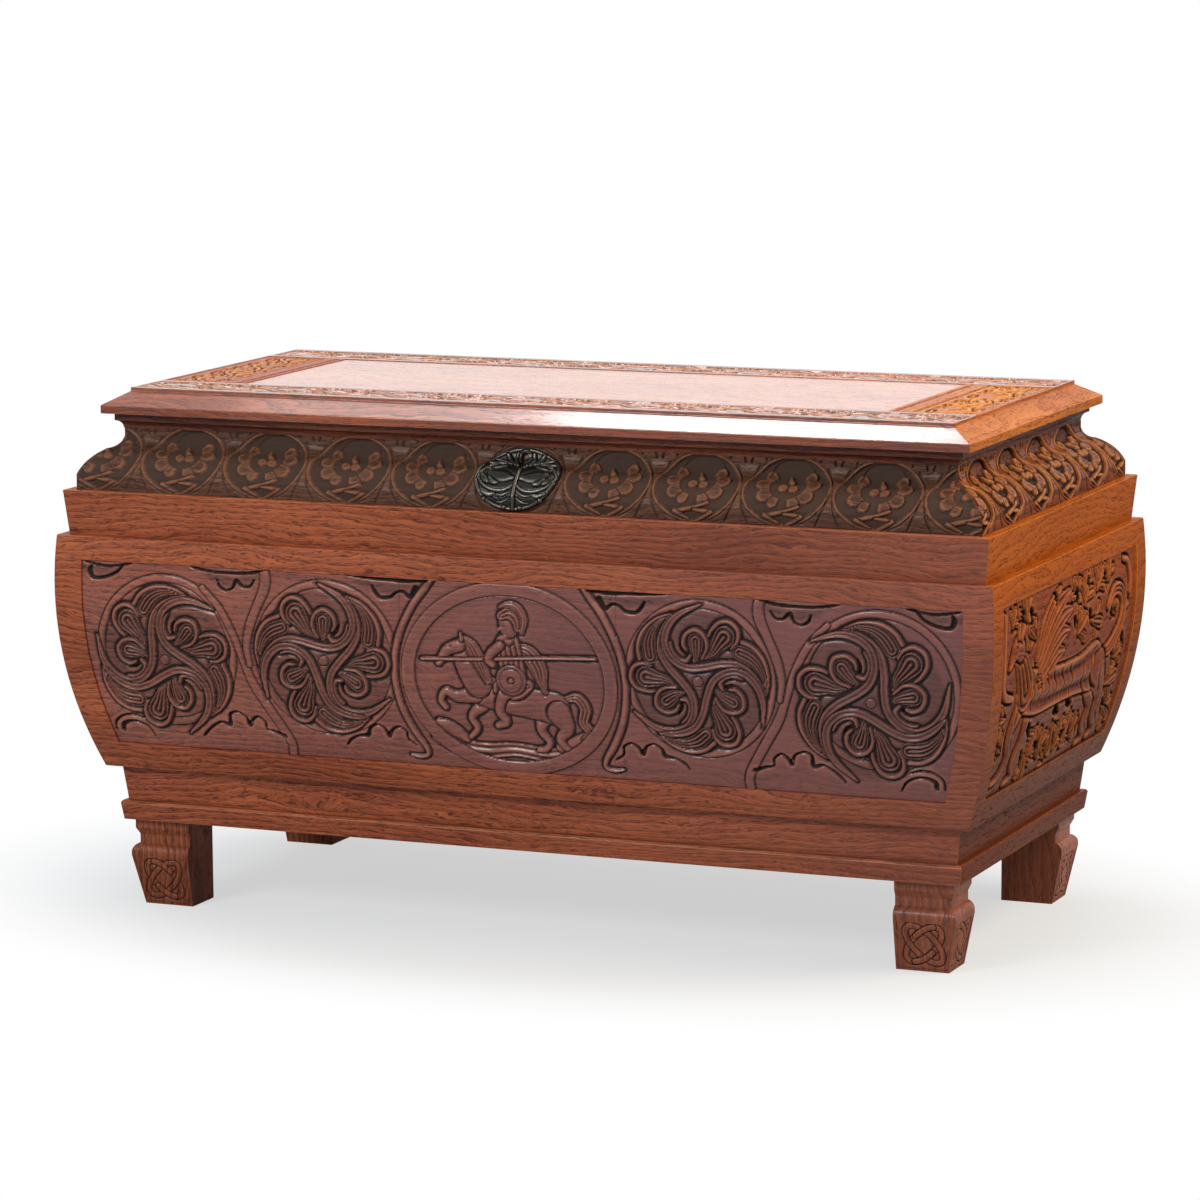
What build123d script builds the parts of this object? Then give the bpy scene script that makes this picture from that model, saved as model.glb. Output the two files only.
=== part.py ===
from build123d import *
import math
import os

# A carved oak cassone: a bombé chest on four block feet, built up from mitred courses of
# moulding, under a framed and bevelled lid that is hinged behind and locks in front.
# Millimetres. +X runs along the chest, -Y is its front, +Z is up; the origin is on the
# floor, under the middle. "Inset" is how far a face lies inside the plan rectangle.

os.makedirs("parts", exist_ok=True)

# Plan: the top edge of the body boards, from which every inset is measured
CHEST_LENGTH = 1300.0
CHEST_DEPTH = 650.0

# Heights of the courses, from the floor up
FOOT_HEIGHT = 118.0
PLINTH_HEIGHT = 26.0
BASE_HEIGHT = 49.0
BODY_HEIGHT = 317.0
FRIEZE_HEIGHT = 59.0
CORNICE_HEIGHT = 79.0
RIM_HEIGHT = 20.0

# Feet: a block with a straight head, a hollow neck, a swollen toe and a tapered shank
FOOT_HEAD_INSET = 70.0
FOOT_NECK_INSET = 74.5
FOOT_TOE_INSET = 65.5
FOOT_SOLE_INSET = 79.0
FOOT_BACK_INSET_X = 150.0
FOOT_BACK_INSET_Y = 140.0
FOOT_HEAD_HEIGHT = 13.0
FOOT_HOLLOW_HEIGHT = 9.0
FOOT_NECK_HEIGHT = 12.0
FOOT_TOE_HEIGHT = 12.0
FOOT_TOE_BAND = 4.0
FOOT_HOLLOW_SAG = 2.5
DOWEL_DIAMETER = 14.0
DOWEL_IN_FOOT = 40.0
DOWEL_IN_PLINTH = 20.0
DOWEL_INSET_X = 126.0
DOWEL_INSET_Y = 98.0
DOWEL_PLAY = 0.1

# Plinth moulding, base boards and bottom boards
PLINTH_FOOT_INSET = 59.0
PLINTH_BEAD_INSET = 55.5
PLINTH_TOP_INSET = 57.5
PLINTH_BEAD_DROP = 3.0
PLINTH_BACK_INSET = 150.0
BASE_FOOT_INSET = 64.0
BASE_TOP_INSET = 58.0
BASE_BACK_INSET = 94.0
BOTTOM_BOARD_COUNT = 3
BOTTOM_BOARD_THICKNESS = 18.0
BOTTOM_BOARD_GAP = 0.5

# Body boards: their face is an arc that swells past the straight line from foot to top
BODY_FOOT_INSET = 42.0
BODY_TOP_INSET = -1.2
BODY_SWELL = 18.9
BODY_BACK_FOOT_INSET = 84.0
BODY_BACK_TOP_INSET = 40.0

# Sunk field for the carving, with the medallion and roundel rings left at full height
FIELD_SINK = 9.0
FIELD_LOW_MARGIN = 35.0
FIELD_HIGH_MARGIN = 32.0
FIELD_END_MARGIN = 40.0
MEDALLION_LENGTH = 302.0
MEDALLION_HEIGHT = 258.0
MEDALLION_RIM = 18.0
ROUNDEL_DIAMETER = 200.0
ROUNDEL_RIM = 11.0
ROUNDEL_INNER_OFFSET = 258.0
ROUNDEL_OUTER_OFFSET = 496.0
ROUNDEL_HEIGHT = 174.0

# Frieze boards
FRIEZE_FOOT_INSET = 11.5
FRIEZE_TOP_INSET = 5.5
FRIEZE_BACK_INSET = 40.0

# Cornice moulding: a fillet, then an ogee that runs up and back to a straight neck
CORNICE_FOOT_INSET = 18.5
CORNICE_NECK_INSET = 66.5
CORNICE_FILLET = 20.0
CORNICE_NECK = 10.0
CORNICE_TURN_RUN = 32.0
CORNICE_TURN_RISE = 33.5
CORNICE_SWELL = 4.5
CORNICE_HOLLOW = 3.8

# Rim moulding: a cove under a fillet; its back and the cornice's are the chest's mouth
RIM_FACE_INSET = 57.7
RIM_COVE_HEIGHT = 10.0
RIM_COVE_SAG = 2.6
MOUTH_INSET = 98.0

# Lid: rails with a bevelled edge and a raised border round a plain panel
LID_EDGE_INSET = 44.0
LID_EDGE_HEIGHT = 11.0
LID_BEVEL_RUN = 30.0
LID_BEVEL_RISE = 17.0
LID_BORDER_RISE = 5.0
LID_RAIL_WIDTH = 121.0
LID_END_WIDTH = 151.0
TENON_LENGTH = 30.0
TENON_WIDTH = 80.0
TENON_THICKNESS = 10.0
PANEL_THICKNESS = 22.0
PANEL_DROP = 1.0
TONGUE_LENGTH = 10.0
TONGUE_THICKNESS = 8.0
JOINT_PLAY = 1.0

# Butt hinges, let in between the rim and the lid
HINGE_END_MARGIN = 250.0
HINGE_LENGTH = 76.0
HINGE_LEAF_DEPTH = 30.0
HINGE_LEAF_THICKNESS = 2.2
HINGE_BARREL_DIAMETER = 9.5
HINGE_PIN_DIAMETER = 4.0
HINGE_PIN_PLAY = 0.05
HINGE_KNUCKLES = 3
HINGE_KNUCKLE_GAP = 0.3
HINGE_BARREL_GAP = 0.55
HINGE_NOTCH_GAP = 0.8

# Box lock behind the front cornice, its bolt, and the keeper that hangs from the lid
LOCK_WIDTH = 100.0
LOCK_FLANGE_WIDTH = 130.0
LOCK_FLANGE_THICKNESS = 3.0
LOCK_HEIGHT = 70.0
LOCK_DEPTH = 22.0
LOCK_TOP_GAP = 1.0
KEYHOLE_DROP = 33.0
KEYHOLE_DIAMETER = 9.0
KEYHOLE_SLOT_WIDTH = 4.5
KEYHOLE_SLOT_LENGTH = 12.0
KEYHOLE_IN_LOCK = 12.0
BOLT_LENGTH = 38.0
BOLT_HEIGHT = 8.0
BOLT_THICKNESS = 6.0
BOLT_DROP = 13.5
BOLT_THROW = 12.0
BOLT_PLAY = 0.3
BOLT_TO_KEEPER = 3.0
TALON_RADIUS = 3.0
KEEPER_PLATE_LENGTH = 64.0
KEEPER_PLATE_WIDTH = 32.0
KEEPER_PLATE_THICKNESS = 3.0
KEEPER_LOOP_THICKNESS = 4.0
KEEPER_LOOP_WIDTH = 14.0
KEEPER_LOOP_DROP = 21.0
KEEPER_PLAY = 1.5
KEEPER_HOLE_PLAY = 0.5

# Wrought nails: a square shank that tapers, under a sunk head with four facets
NAIL_HEAD = 7.0
NAIL_HEAD_HEIGHT = 1.6
NAIL_SHANK = 3.4
NAIL_TIP = 1.7
NAIL_LENGTH = 18.0
NAIL_PLAY = 0.05
HINGE_NAIL_SPACING = 26.0
LOCK_NAIL_MARGIN = 12.0
KEEPER_NAIL_SPACING = 44.0

# Escutcheon: an oval iron plate bent to the cornice
ESCUTCHEON_LENGTH = 118.0
ESCUTCHEON_HEIGHT = 77.0
ESCUTCHEON_THICKNESS = 2.0
ESCUTCHEON_SEAT_GAP = 0.1

# Heights at which the courses meet
plinth_z = FOOT_HEIGHT
base_z = plinth_z + PLINTH_HEIGHT
body_z = base_z + BASE_HEIGHT
frieze_z = body_z + BODY_HEIGHT
cornice_z = frieze_z + FRIEZE_HEIGHT
rim_z = cornice_z + CORNICE_HEIGHT
lid_z = rim_z + RIM_HEIGHT

# The four sides: each one's outward direction, the distance of its plan line from the
# middle, and half the length of that line
OUTWARD = {"front": (0, -1), "rear": (0, 1), "left": (-1, 0), "right": (1, 0)}
reach = {side: (CHEST_LENGTH if out[0] else CHEST_DEPTH) / 2 for side, out in OUTWARD.items()}
half_run = {side: (CHEST_DEPTH if out[0] else CHEST_LENGTH) / 2 for side, out in OUTWARD.items()}


def section_plane(side):
    """The upright plane across one side: its X points outwards and its Y points up."""
    out_x, out_y = OUTWARD[side]
    return Plane(origin=(0, 0, 0), x_dir=(out_x, out_y, 0), z_dir=(out_y, -out_x, 0))


def front_plane(y, z):
    """An upright plane facing the front, with its origin at a given depth and height."""
    return Plane(origin=(0, y, z), x_dir=(1, 0, 0), z_dir=(0, -1, 0))


def run_and_mitre(side, margin=0.0):
    """Run the section being built along its side, and cut both ends at 45 degrees."""
    extrude(amount=half_run[side] + reach[side], both=True)
    outward = Vector(*OUTWARD[side])
    for end in (-1, 1):
        along = Vector(-outward.Y, outward.X) * end
        corner = outward * reach[side] + along * (half_run[side] - margin)
        split(bisect_by=Plane(origin=corner, z_dir=along - outward), keep=Keep.BOTTOM)


def finish(piece, name):
    """Label a finished piece and write it to its own file."""
    piece.part.label = name
    export_step(piece.part, f"parts/{name}.step")


def nail(seats, play=0.0, mode=Mode.ADD):
    """Drive a nail at each seat, or cut its hole: a seat's plane points into the work."""
    shank_length = NAIL_LENGTH - NAIL_HEAD_HEIGHT
    head_slope = math.degrees(math.atan2(NAIL_HEAD - NAIL_SHANK, 2 * NAIL_HEAD_HEIGHT))
    shank_slope = math.degrees(math.atan2(NAIL_SHANK - NAIL_TIP, 2 * shank_length))
    for seat in seats:
        with BuildSketch(seat) as head:
            Rectangle(NAIL_HEAD + 2 * play, NAIL_HEAD + 2 * play)
        extrude(head.sketch, amount=NAIL_HEAD_HEIGHT, taper=head_slope, mode=mode)
        with BuildSketch(seat.offset(NAIL_HEAD_HEIGHT)) as shank:
            Rectangle(NAIL_SHANK + 2 * play, NAIL_SHANK + 2 * play)
        extrude(shank.sketch, amount=shank_length, taper=shank_slope, mode=mode)


# --- Feet -----------------------------------------------------------------------------
# Each foot is sawn to the same profile on its two outer faces and left flat on the others.


def foot_section(side, back_inset):
    """The foot's profile on one side, from head to sole, closed by its flat back."""
    neck_z = FOOT_HEIGHT - FOOT_HEAD_HEIGHT - FOOT_HOLLOW_HEIGHT
    toe_z = neck_z - FOOT_NECK_HEIGHT - FOOT_TOE_HEIGHT
    head = reach[side] - FOOT_HEAD_INSET
    neck = reach[side] - FOOT_NECK_INSET
    toe = reach[side] - FOOT_TOE_INSET
    sole = reach[side] - FOOT_SOLE_INSET
    back = reach[side] - back_inset
    with BuildSketch(section_plane(side)) as section:
        with BuildLine():
            Polyline(
                (back, FOOT_HEIGHT),
                (head, FOOT_HEIGHT),
                (head, FOOT_HEIGHT - FOOT_HEAD_HEIGHT),
                (neck, neck_z),
                (neck, neck_z - FOOT_NECK_HEIGHT),
            )
            SagittaArc((neck, neck_z - FOOT_NECK_HEIGHT), (toe, toe_z), FOOT_HOLLOW_SAG)
            Polyline((toe, toe_z), (toe, toe_z - FOOT_TOE_BAND), (sole, 0), (back, 0), (back, FOOT_HEIGHT))
        make_face()
    return section.sketch


def bore_for_dowels(places):
    """Bore through for the dowels between a foot and the plinth."""
    with BuildSketch(Plane.XY.offset(FOOT_HEIGHT - DOWEL_IN_FOOT)) as bores:
        with Locations(*places):
            Circle(DOWEL_DIAMETER / 2 + DOWEL_PLAY)
    extrude(bores.sketch, amount=DOWEL_IN_FOOT + DOWEL_IN_PLINTH, mode=Mode.SUBTRACT)


dowel_places = []
for y_name, y_sign in (("front", -1), ("rear", 1)):
    for x_name, x_sign in (("left", -1), ("right", 1)):
        with BuildPart() as foot:
            extrude(foot_section(x_name, FOOT_BACK_INSET_X), amount=reach[y_name], both=True)
            along_front = foot_section(y_name, FOOT_BACK_INSET_Y)
            extrude(along_front, amount=reach[x_name], both=True, mode=Mode.INTERSECT)
            place = (x_sign * (CHEST_LENGTH / 2 - DOWEL_INSET_X), y_sign * (CHEST_DEPTH / 2 - DOWEL_INSET_Y))
            bore_for_dowels([place])
        finish(foot, f"foot_{y_name}_{x_name}")
        dowel_places.append(place)

with BuildPart() as foot_dowels:
    with BuildSketch(Plane.XY.offset(FOOT_HEIGHT - DOWEL_IN_FOOT)):
        with Locations(*dowel_places):
            Circle(DOWEL_DIAMETER / 2)
    extrude(amount=DOWEL_IN_FOOT + DOWEL_IN_PLINTH)
finish(foot_dowels, "foot_dowels")

# --- Plinth and base ------------------------------------------------------------------
# A flat moulded frame joins the feet. The base boards stand on it, and the bottom boards
# lie on the ledge that it leaves inside them.

for side, plan_reach in reach.items():
    with BuildPart() as plinth:
        with BuildSketch(section_plane(side)):
            with BuildLine():
                Polyline(
                    (plan_reach - PLINTH_FOOT_INSET, plinth_z),
                    (plan_reach - PLINTH_BEAD_INSET, base_z - PLINTH_BEAD_DROP),
                    (plan_reach - PLINTH_TOP_INSET, base_z),
                    (plan_reach - PLINTH_BACK_INSET, base_z),
                    (plan_reach - PLINTH_BACK_INSET, plinth_z),
                    close=True,
                )
            make_face()
        run_and_mitre(side)
        if side in ("front", "rear"):
            bore_for_dowels(dowel_places)
    finish(plinth, f"plinth_{side}")

    with BuildPart() as base_board:
        with BuildSketch(section_plane(side)):
            with BuildLine():
                Polyline(
                    (plan_reach - BASE_FOOT_INSET, base_z),
                    (plan_reach - BASE_TOP_INSET, body_z),
                    (plan_reach - BASE_BACK_INSET, body_z),
                    (plan_reach - BASE_BACK_INSET, base_z),
                    close=True,
                )
            make_face()
        run_and_mitre(side)
    finish(base_board, f"base_board_{side}")

bottom_length = CHEST_LENGTH - 2 * (BASE_BACK_INSET + BOTTOM_BOARD_GAP)
bottom_pitch = (CHEST_DEPTH - 2 * BASE_BACK_INSET) / BOTTOM_BOARD_COUNT
for index in range(BOTTOM_BOARD_COUNT):
    with BuildPart() as bottom_board:
        with BuildSketch(Plane.XY.offset(base_z)):
            with Locations((0, (index - (BOTTOM_BOARD_COUNT - 1) / 2) * bottom_pitch)):
                Rectangle(bottom_length, bottom_pitch - 2 * BOTTOM_BOARD_GAP)
        extrude(amount=BOTTOM_BOARD_THICKNESS)
    finish(bottom_board, f"bottom_board_{index + 1}")

# --- Body -----------------------------------------------------------------------------
# Thick boards with a swelling face and a flat, leaning back. The front and the ends are
# sunk for carving, and the front keeps a medallion ring and four roundel rings standing.


def body_face_inset(height):
    """Inset of the body boards' face at a height above their foot."""
    run = BODY_FOOT_INSET - BODY_TOP_INSET
    chord = math.hypot(run, BODY_HEIGHT)
    radius = (chord**2 / 4 + BODY_SWELL**2) / (2 * BODY_SWELL)
    to_centre = radius - BODY_SWELL
    centre_inset = (BODY_FOOT_INSET + BODY_TOP_INSET) / 2 + to_centre * BODY_HEIGHT / chord
    centre_height = BODY_HEIGHT / 2 + to_centre * run / chord
    return centre_inset - math.sqrt(radius**2 - (height - centre_height) ** 2)


def sunk_field(side):
    """The wood that is cut away for the carving on one side, to an even depth."""
    low = FIELD_LOW_MARGIN
    high = BODY_HEIGHT - FIELD_HIGH_MARGIN
    clear = reach[side] + BODY_SWELL
    ground = [
        (reach[side] - body_face_inset(height) - FIELD_SINK, body_z + height)
        for height in (low, (low + high) / 2, high)
    ]
    with BuildPart() as sinking:
        with BuildSketch(section_plane(side)):
            with BuildLine():
                ThreePointArc(*ground)
                Polyline(ground[-1], (clear, body_z + high), (clear, body_z + low), ground[0])
            make_face()
        run_and_mitre(side, FIELD_END_MARGIN)
        if side == "front":
            with BuildSketch(front_plane(-reach[side], body_z + (low + high) / 2)):
                Ellipse(MEDALLION_LENGTH / 2, MEDALLION_HEIGHT / 2)
                Ellipse(
                    MEDALLION_LENGTH / 2 - MEDALLION_RIM,
                    MEDALLION_HEIGHT / 2 - MEDALLION_RIM,
                    mode=Mode.SUBTRACT,
                )
            with BuildSketch(front_plane(-reach[side], body_z + ROUNDEL_HEIGHT)):
                offsets = (ROUNDEL_INNER_OFFSET, ROUNDEL_OUTER_OFFSET)
                with Locations(*[(sign * offset, 0) for offset in offsets for sign in (-1, 1)]):
                    Circle(ROUNDEL_DIAMETER / 2)
                    Circle(ROUNDEL_DIAMETER / 2 - ROUNDEL_RIM, mode=Mode.SUBTRACT)
            extrude(amount=BODY_FOOT_INSET + FIELD_SINK, both=True, mode=Mode.SUBTRACT)
    return sinking.part


for side, plan_reach in reach.items():
    sinking = sunk_field(side) if side != "rear" else None
    with BuildPart() as body_board:
        with BuildSketch(section_plane(side)):
            with BuildLine():
                face = ThreePointArc(
                    (plan_reach - BODY_FOOT_INSET, body_z),
                    (plan_reach - body_face_inset(BODY_HEIGHT / 2), body_z + BODY_HEIGHT / 2),
                    (plan_reach - BODY_TOP_INSET, frieze_z),
                )
                Polyline(
                    face @ 1,
                    (plan_reach - BODY_BACK_TOP_INSET, frieze_z),
                    (plan_reach - BODY_BACK_FOOT_INSET, body_z),
                    face @ 0,
                )
            make_face()
        run_and_mitre(side)
        if sinking:
            add(sinking, mode=Mode.SUBTRACT)
    finish(body_board, f"body_board_{side}")

# --- Frieze, cornice and rim ----------------------------------------------------------
# Plain frieze boards, then the carved ogee, then a cove and fillet under the lid. The
# front cornice is bored for the key, and the rear rim is let in for the hinges.


def cornice_face(plan_reach):
    """Draw the cornice's face, from its foot up to its neck."""
    foot = plan_reach - CORNICE_FOOT_INSET
    neck = plan_reach - CORNICE_NECK_INSET
    spring_z = cornice_z + CORNICE_FILLET
    neck_z = rim_z - CORNICE_NECK
    turn = (foot - CORNICE_TURN_RUN, spring_z + CORNICE_TURN_RISE)
    Line((foot, cornice_z), (foot, spring_z))
    SagittaArc((foot, spring_z), turn, -CORNICE_SWELL)
    SagittaArc(turn, (neck, neck_z), CORNICE_HOLLOW)
    Line((neck, neck_z), (neck, rim_z))


def cut_keyhole(from_y, depth):
    """Cut the keyhole, a round over a slot, from a plane towards the front."""
    with BuildSketch(front_plane(from_y, lid_z - KEYHOLE_DROP)) as keyhole:
        Circle(KEYHOLE_DIAMETER / 2)
        with Locations((0, -KEYHOLE_SLOT_LENGTH / 2)):
            Rectangle(KEYHOLE_SLOT_WIDTH, KEYHOLE_SLOT_LENGTH)
    extrude(keyhole.sketch, amount=depth, mode=Mode.SUBTRACT)


mouth_y = CHEST_DEPTH / 2 - MOUTH_INSET
rim_face_y = CHEST_DEPTH / 2 - RIM_FACE_INSET
hinge_reach = CHEST_LENGTH / 2 - HINGE_END_MARGIN
hinge_x = {"left": -hinge_reach, "right": hinge_reach}
hinge_y = rim_face_y + HINGE_BARREL_GAP + HINGE_BARREL_DIAMETER / 2
leaf_mid_y = rim_face_y - HINGE_LEAF_DEPTH / 2
lock_mid_y = LOCK_DEPTH / 2 - mouth_y
lock_top_z = lid_z - LOCK_TOP_GAP


def hinge_nail_seats(rise):
    """Three nails in a leaf of each hinge, driven up into the lid or down into the rim."""
    spread = (-HINGE_NAIL_SPACING, 0, HINGE_NAIL_SPACING)
    places = [x + along for x in hinge_x.values() for along in spread]
    return [Plane(origin=(place, leaf_mid_y, lid_z), z_dir=(0, 0, rise)) for place in places]


lock_nail_x = (LOCK_WIDTH + LOCK_FLANGE_WIDTH) / 4
lock_nail_z = (lock_top_z - LOCK_NAIL_MARGIN, lock_top_z - LOCK_HEIGHT + LOCK_NAIL_MARGIN)
lock_nail_seats = [
    Plane(origin=(x, LOCK_FLANGE_THICKNESS - mouth_y, z), z_dir=(0, -1, 0))
    for x in (-lock_nail_x, lock_nail_x)
    for z in lock_nail_z
]

for side, plan_reach in reach.items():
    with BuildPart() as frieze:
        with BuildSketch(section_plane(side)):
            with BuildLine():
                Polyline(
                    (plan_reach - FRIEZE_FOOT_INSET, frieze_z),
                    (plan_reach - FRIEZE_TOP_INSET, cornice_z),
                    (plan_reach - FRIEZE_BACK_INSET, cornice_z),
                    (plan_reach - FRIEZE_BACK_INSET, frieze_z),
                    close=True,
                )
            make_face()
        run_and_mitre(side)
    finish(frieze, f"frieze_{side}")

    with BuildPart() as cornice:
        with BuildSketch(section_plane(side)):
            with BuildLine():
                cornice_face(plan_reach)
                Polyline(
                    (plan_reach - CORNICE_NECK_INSET, rim_z),
                    (plan_reach - MOUTH_INSET, rim_z),
                    (plan_reach - MOUTH_INSET, cornice_z),
                    (plan_reach - CORNICE_FOOT_INSET, cornice_z),
                )
            make_face()
        run_and_mitre(side)
        if side == "front":
            cut_keyhole(-mouth_y, MOUTH_INSET)
            nail(lock_nail_seats, NAIL_PLAY, Mode.SUBTRACT)
    finish(cornice, f"cornice_{side}")

    with BuildPart() as rim:
        with BuildSketch(section_plane(side)):
            with BuildLine():
                SagittaArc(
                    (plan_reach - CORNICE_NECK_INSET, rim_z),
                    (plan_reach - RIM_FACE_INSET, rim_z + RIM_COVE_HEIGHT),
                    RIM_COVE_SAG,
                )
                Polyline(
                    (plan_reach - RIM_FACE_INSET, rim_z + RIM_COVE_HEIGHT),
                    (plan_reach - RIM_FACE_INSET, lid_z),
                    (plan_reach - MOUTH_INSET, lid_z),
                    (plan_reach - MOUTH_INSET, rim_z),
                    (plan_reach - CORNICE_NECK_INSET, rim_z),
                )
            make_face()
        run_and_mitre(side)
        if side == "front":
            nail(lock_nail_seats, NAIL_PLAY, Mode.SUBTRACT)
        if side == "rear":
            with BuildSketch(Plane.XY.offset(lid_z)):
                with Locations(*[(x, leaf_mid_y) for x in hinge_x.values()]):
                    Rectangle(HINGE_LENGTH, HINGE_LEAF_DEPTH)
            extrude(amount=-HINGE_LEAF_THICKNESS, mode=Mode.SUBTRACT)
            nail(hinge_nail_seats(-1), NAIL_PLAY, Mode.SUBTRACT)
    finish(rim, f"rim_{side}")

# --- Lid ------------------------------------------------------------------------------
# Two long rails with the end rails tenoned between them, all with one bevelled edge and a
# raised border, round a panel that is tongued into them.

border_z = lid_z + LID_EDGE_HEIGHT + LID_BEVEL_RISE
lid_top_z = border_z + LID_BORDER_RISE
rail_y = CHEST_DEPTH / 2 - LID_EDGE_INSET - LID_RAIL_WIDTH
end_x = CHEST_LENGTH / 2 - LID_EDGE_INSET - LID_END_WIDTH
panel_z = lid_top_z - PANEL_DROP - PANEL_THICKNESS
tongue_z = panel_z + (PANEL_THICKNESS - TONGUE_THICKNESS) / 2
tenon_x = CHEST_LENGTH / 2 - LID_EDGE_INSET - LID_BEVEL_RUN - TENON_WIDTH / 2 - JOINT_PLAY
tenon_z = lid_z + LID_EDGE_HEIGHT

with BuildPart() as lid_stock:
    with BuildSketch(Plane.XY.offset(lid_z)):
        Rectangle(CHEST_LENGTH - 2 * LID_EDGE_INSET, CHEST_DEPTH - 2 * LID_EDGE_INSET)
    extrude(amount=LID_EDGE_HEIGHT + LID_BEVEL_RISE)
    lid_face = lid_stock.faces().sort_by(Axis.Z)[-1]
    chamfer(lid_face.edges(), length=LID_BEVEL_RUN, length2=LID_BEVEL_RISE, reference=lid_face)
    with BuildSketch(Plane.XY.offset(border_z)):
        Rectangle(
            CHEST_LENGTH - 2 * (LID_EDGE_INSET + LID_BEVEL_RUN),
            CHEST_DEPTH - 2 * (LID_EDGE_INSET + LID_BEVEL_RUN),
        )
    extrude(amount=LID_BORDER_RISE)
    with BuildSketch(Plane.XY.offset(tongue_z)):
        Rectangle(2 * (end_x + TONGUE_LENGTH + JOINT_PLAY), 2 * (rail_y + TONGUE_LENGTH + JOINT_PLAY))
    extrude(amount=TONGUE_THICKNESS, mode=Mode.SUBTRACT)

keeper_nail_seats = [
    Plane(origin=(x_sign * KEEPER_NAIL_SPACING / 2, lock_mid_y, lid_z), z_dir=(0, 0, 1)) for x_sign in (-1, 1)
]

for side in ("front", "rear"):
    out_y = OUTWARD[side][1]
    with BuildPart() as rail:
        add(lid_stock.part)
        split(bisect_by=Plane(origin=(0, out_y * rail_y, 0), z_dir=(0, out_y, 0)), keep=Keep.TOP)
        mortise_length = TENON_LENGTH + JOINT_PLAY
        with BuildSketch(Plane.XY.offset(tenon_z)):
            with Locations(*[(x_sign * tenon_x, out_y * (rail_y + mortise_length / 2)) for x_sign in (-1, 1)]):
                Rectangle(TENON_WIDTH, mortise_length)
        extrude(amount=TENON_THICKNESS, mode=Mode.SUBTRACT)
        if side == "front":
            with BuildSketch(Plane.XY.offset(lid_z)):
                with Locations((0, lock_mid_y)):
                    Rectangle(KEEPER_PLATE_LENGTH, KEEPER_PLATE_WIDTH)
            extrude(amount=KEEPER_PLATE_THICKNESS, mode=Mode.SUBTRACT)
            nail(keeper_nail_seats, NAIL_PLAY, Mode.SUBTRACT)
        if side == "rear":
            notch_length = HINGE_LENGTH + 2 * HINGE_NOTCH_GAP
            with BuildSketch(Plane.XY.offset(lid_z)):
                with Locations(*[(x, leaf_mid_y) for x in hinge_x.values()]):
                    Rectangle(HINGE_LENGTH, HINGE_LEAF_DEPTH)
            extrude(amount=HINGE_LEAF_THICKNESS, mode=Mode.SUBTRACT)
            with BuildSketch(Plane.XY.offset(lid_z)):
                with Locations(*[(x, rim_face_y) for x in hinge_x.values()]):
                    Rectangle(notch_length, RIM_FACE_INSET, align=(Align.CENTER, Align.MIN))
            extrude(amount=HINGE_BARREL_DIAMETER / 2 + HINGE_NOTCH_GAP, mode=Mode.SUBTRACT)
            nail(hinge_nail_seats(1), NAIL_PLAY, Mode.SUBTRACT)
    finish(rail, f"lid_rail_{side}")

for side in ("left", "right"):
    out_x = OUTWARD[side][0]
    with BuildPart() as end_rail:
        add(lid_stock.part)
        split(bisect_by=Plane(origin=(out_x * end_x, 0, 0), z_dir=(out_x, 0, 0)), keep=Keep.TOP)
        for y_sign in (-1, 1):
            split(bisect_by=Plane(origin=(0, y_sign * rail_y, 0), z_dir=(0, y_sign, 0)), keep=Keep.BOTTOM)
        with BuildSketch(Plane.XY.offset(tenon_z)):
            with Locations((out_x * tenon_x, 0)):
                Rectangle(TENON_WIDTH, 2 * (rail_y + TENON_LENGTH))
        extrude(amount=TENON_THICKNESS)
    finish(end_rail, f"lid_end_{side}")

with BuildPart() as lid_panel:
    with BuildSketch(Plane.XY.offset(panel_z)):
        Rectangle(2 * end_x, 2 * rail_y)
    extrude(amount=PANEL_THICKNESS)
    with BuildSketch(Plane.XY.offset(tongue_z)):
        Rectangle(2 * (end_x + TONGUE_LENGTH), 2 * (rail_y + TONGUE_LENGTH))
    extrude(amount=TONGUE_THICKNESS)
finish(lid_panel, "lid_panel")

# --- Hinges ---------------------------------------------------------------------------
# Butt hinges whose barrels stand clear of the rim's rear face, under the lid's overhang.

knuckle_pitch = HINGE_LENGTH / HINGE_KNUCKLES
knuckle_length = knuckle_pitch - HINGE_KNUCKLE_GAP

for side, x in hinge_x.items():
    for leaf_name, rise, first_knuckle in (("carcass", -1, 0), ("lid", 1, 1)):
        knuckle_x = [
            x + (index - (HINGE_KNUCKLES - 1) / 2) * knuckle_pitch
            for index in range(first_knuckle, HINGE_KNUCKLES, 2)
        ]
        with BuildPart() as leaf:
            with BuildSketch(Plane.XY.offset(lid_z)):
                with Locations((x, leaf_mid_y)):
                    Rectangle(HINGE_LENGTH, HINGE_LEAF_DEPTH)
                with Locations(*[(each, rim_face_y) for each in knuckle_x]):
                    Rectangle(knuckle_length, hinge_y - rim_face_y, align=(Align.CENTER, Align.MIN))
            extrude(amount=rise * HINGE_LEAF_THICKNESS)
            with Locations(*[Location((each, hinge_y, lid_z), (0, 90, 0)) for each in knuckle_x]):
                Cylinder(HINGE_BARREL_DIAMETER / 2, knuckle_length)
            with Locations(Location((x, hinge_y, lid_z), (0, 90, 0))):
                Cylinder(HINGE_PIN_DIAMETER / 2 + HINGE_PIN_PLAY, HINGE_LENGTH, mode=Mode.SUBTRACT)
            nail(hinge_nail_seats(rise), NAIL_PLAY, Mode.SUBTRACT)
        finish(leaf, f"hinge_{side}_{leaf_name}_leaf")

    with BuildPart() as hinge_pin:
        with Locations(Location((x, hinge_y, lid_z), (0, 90, 0))):
            Cylinder(HINGE_PIN_DIAMETER / 2, HINGE_LENGTH)
    finish(hinge_pin, f"hinge_{side}_pin")

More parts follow.
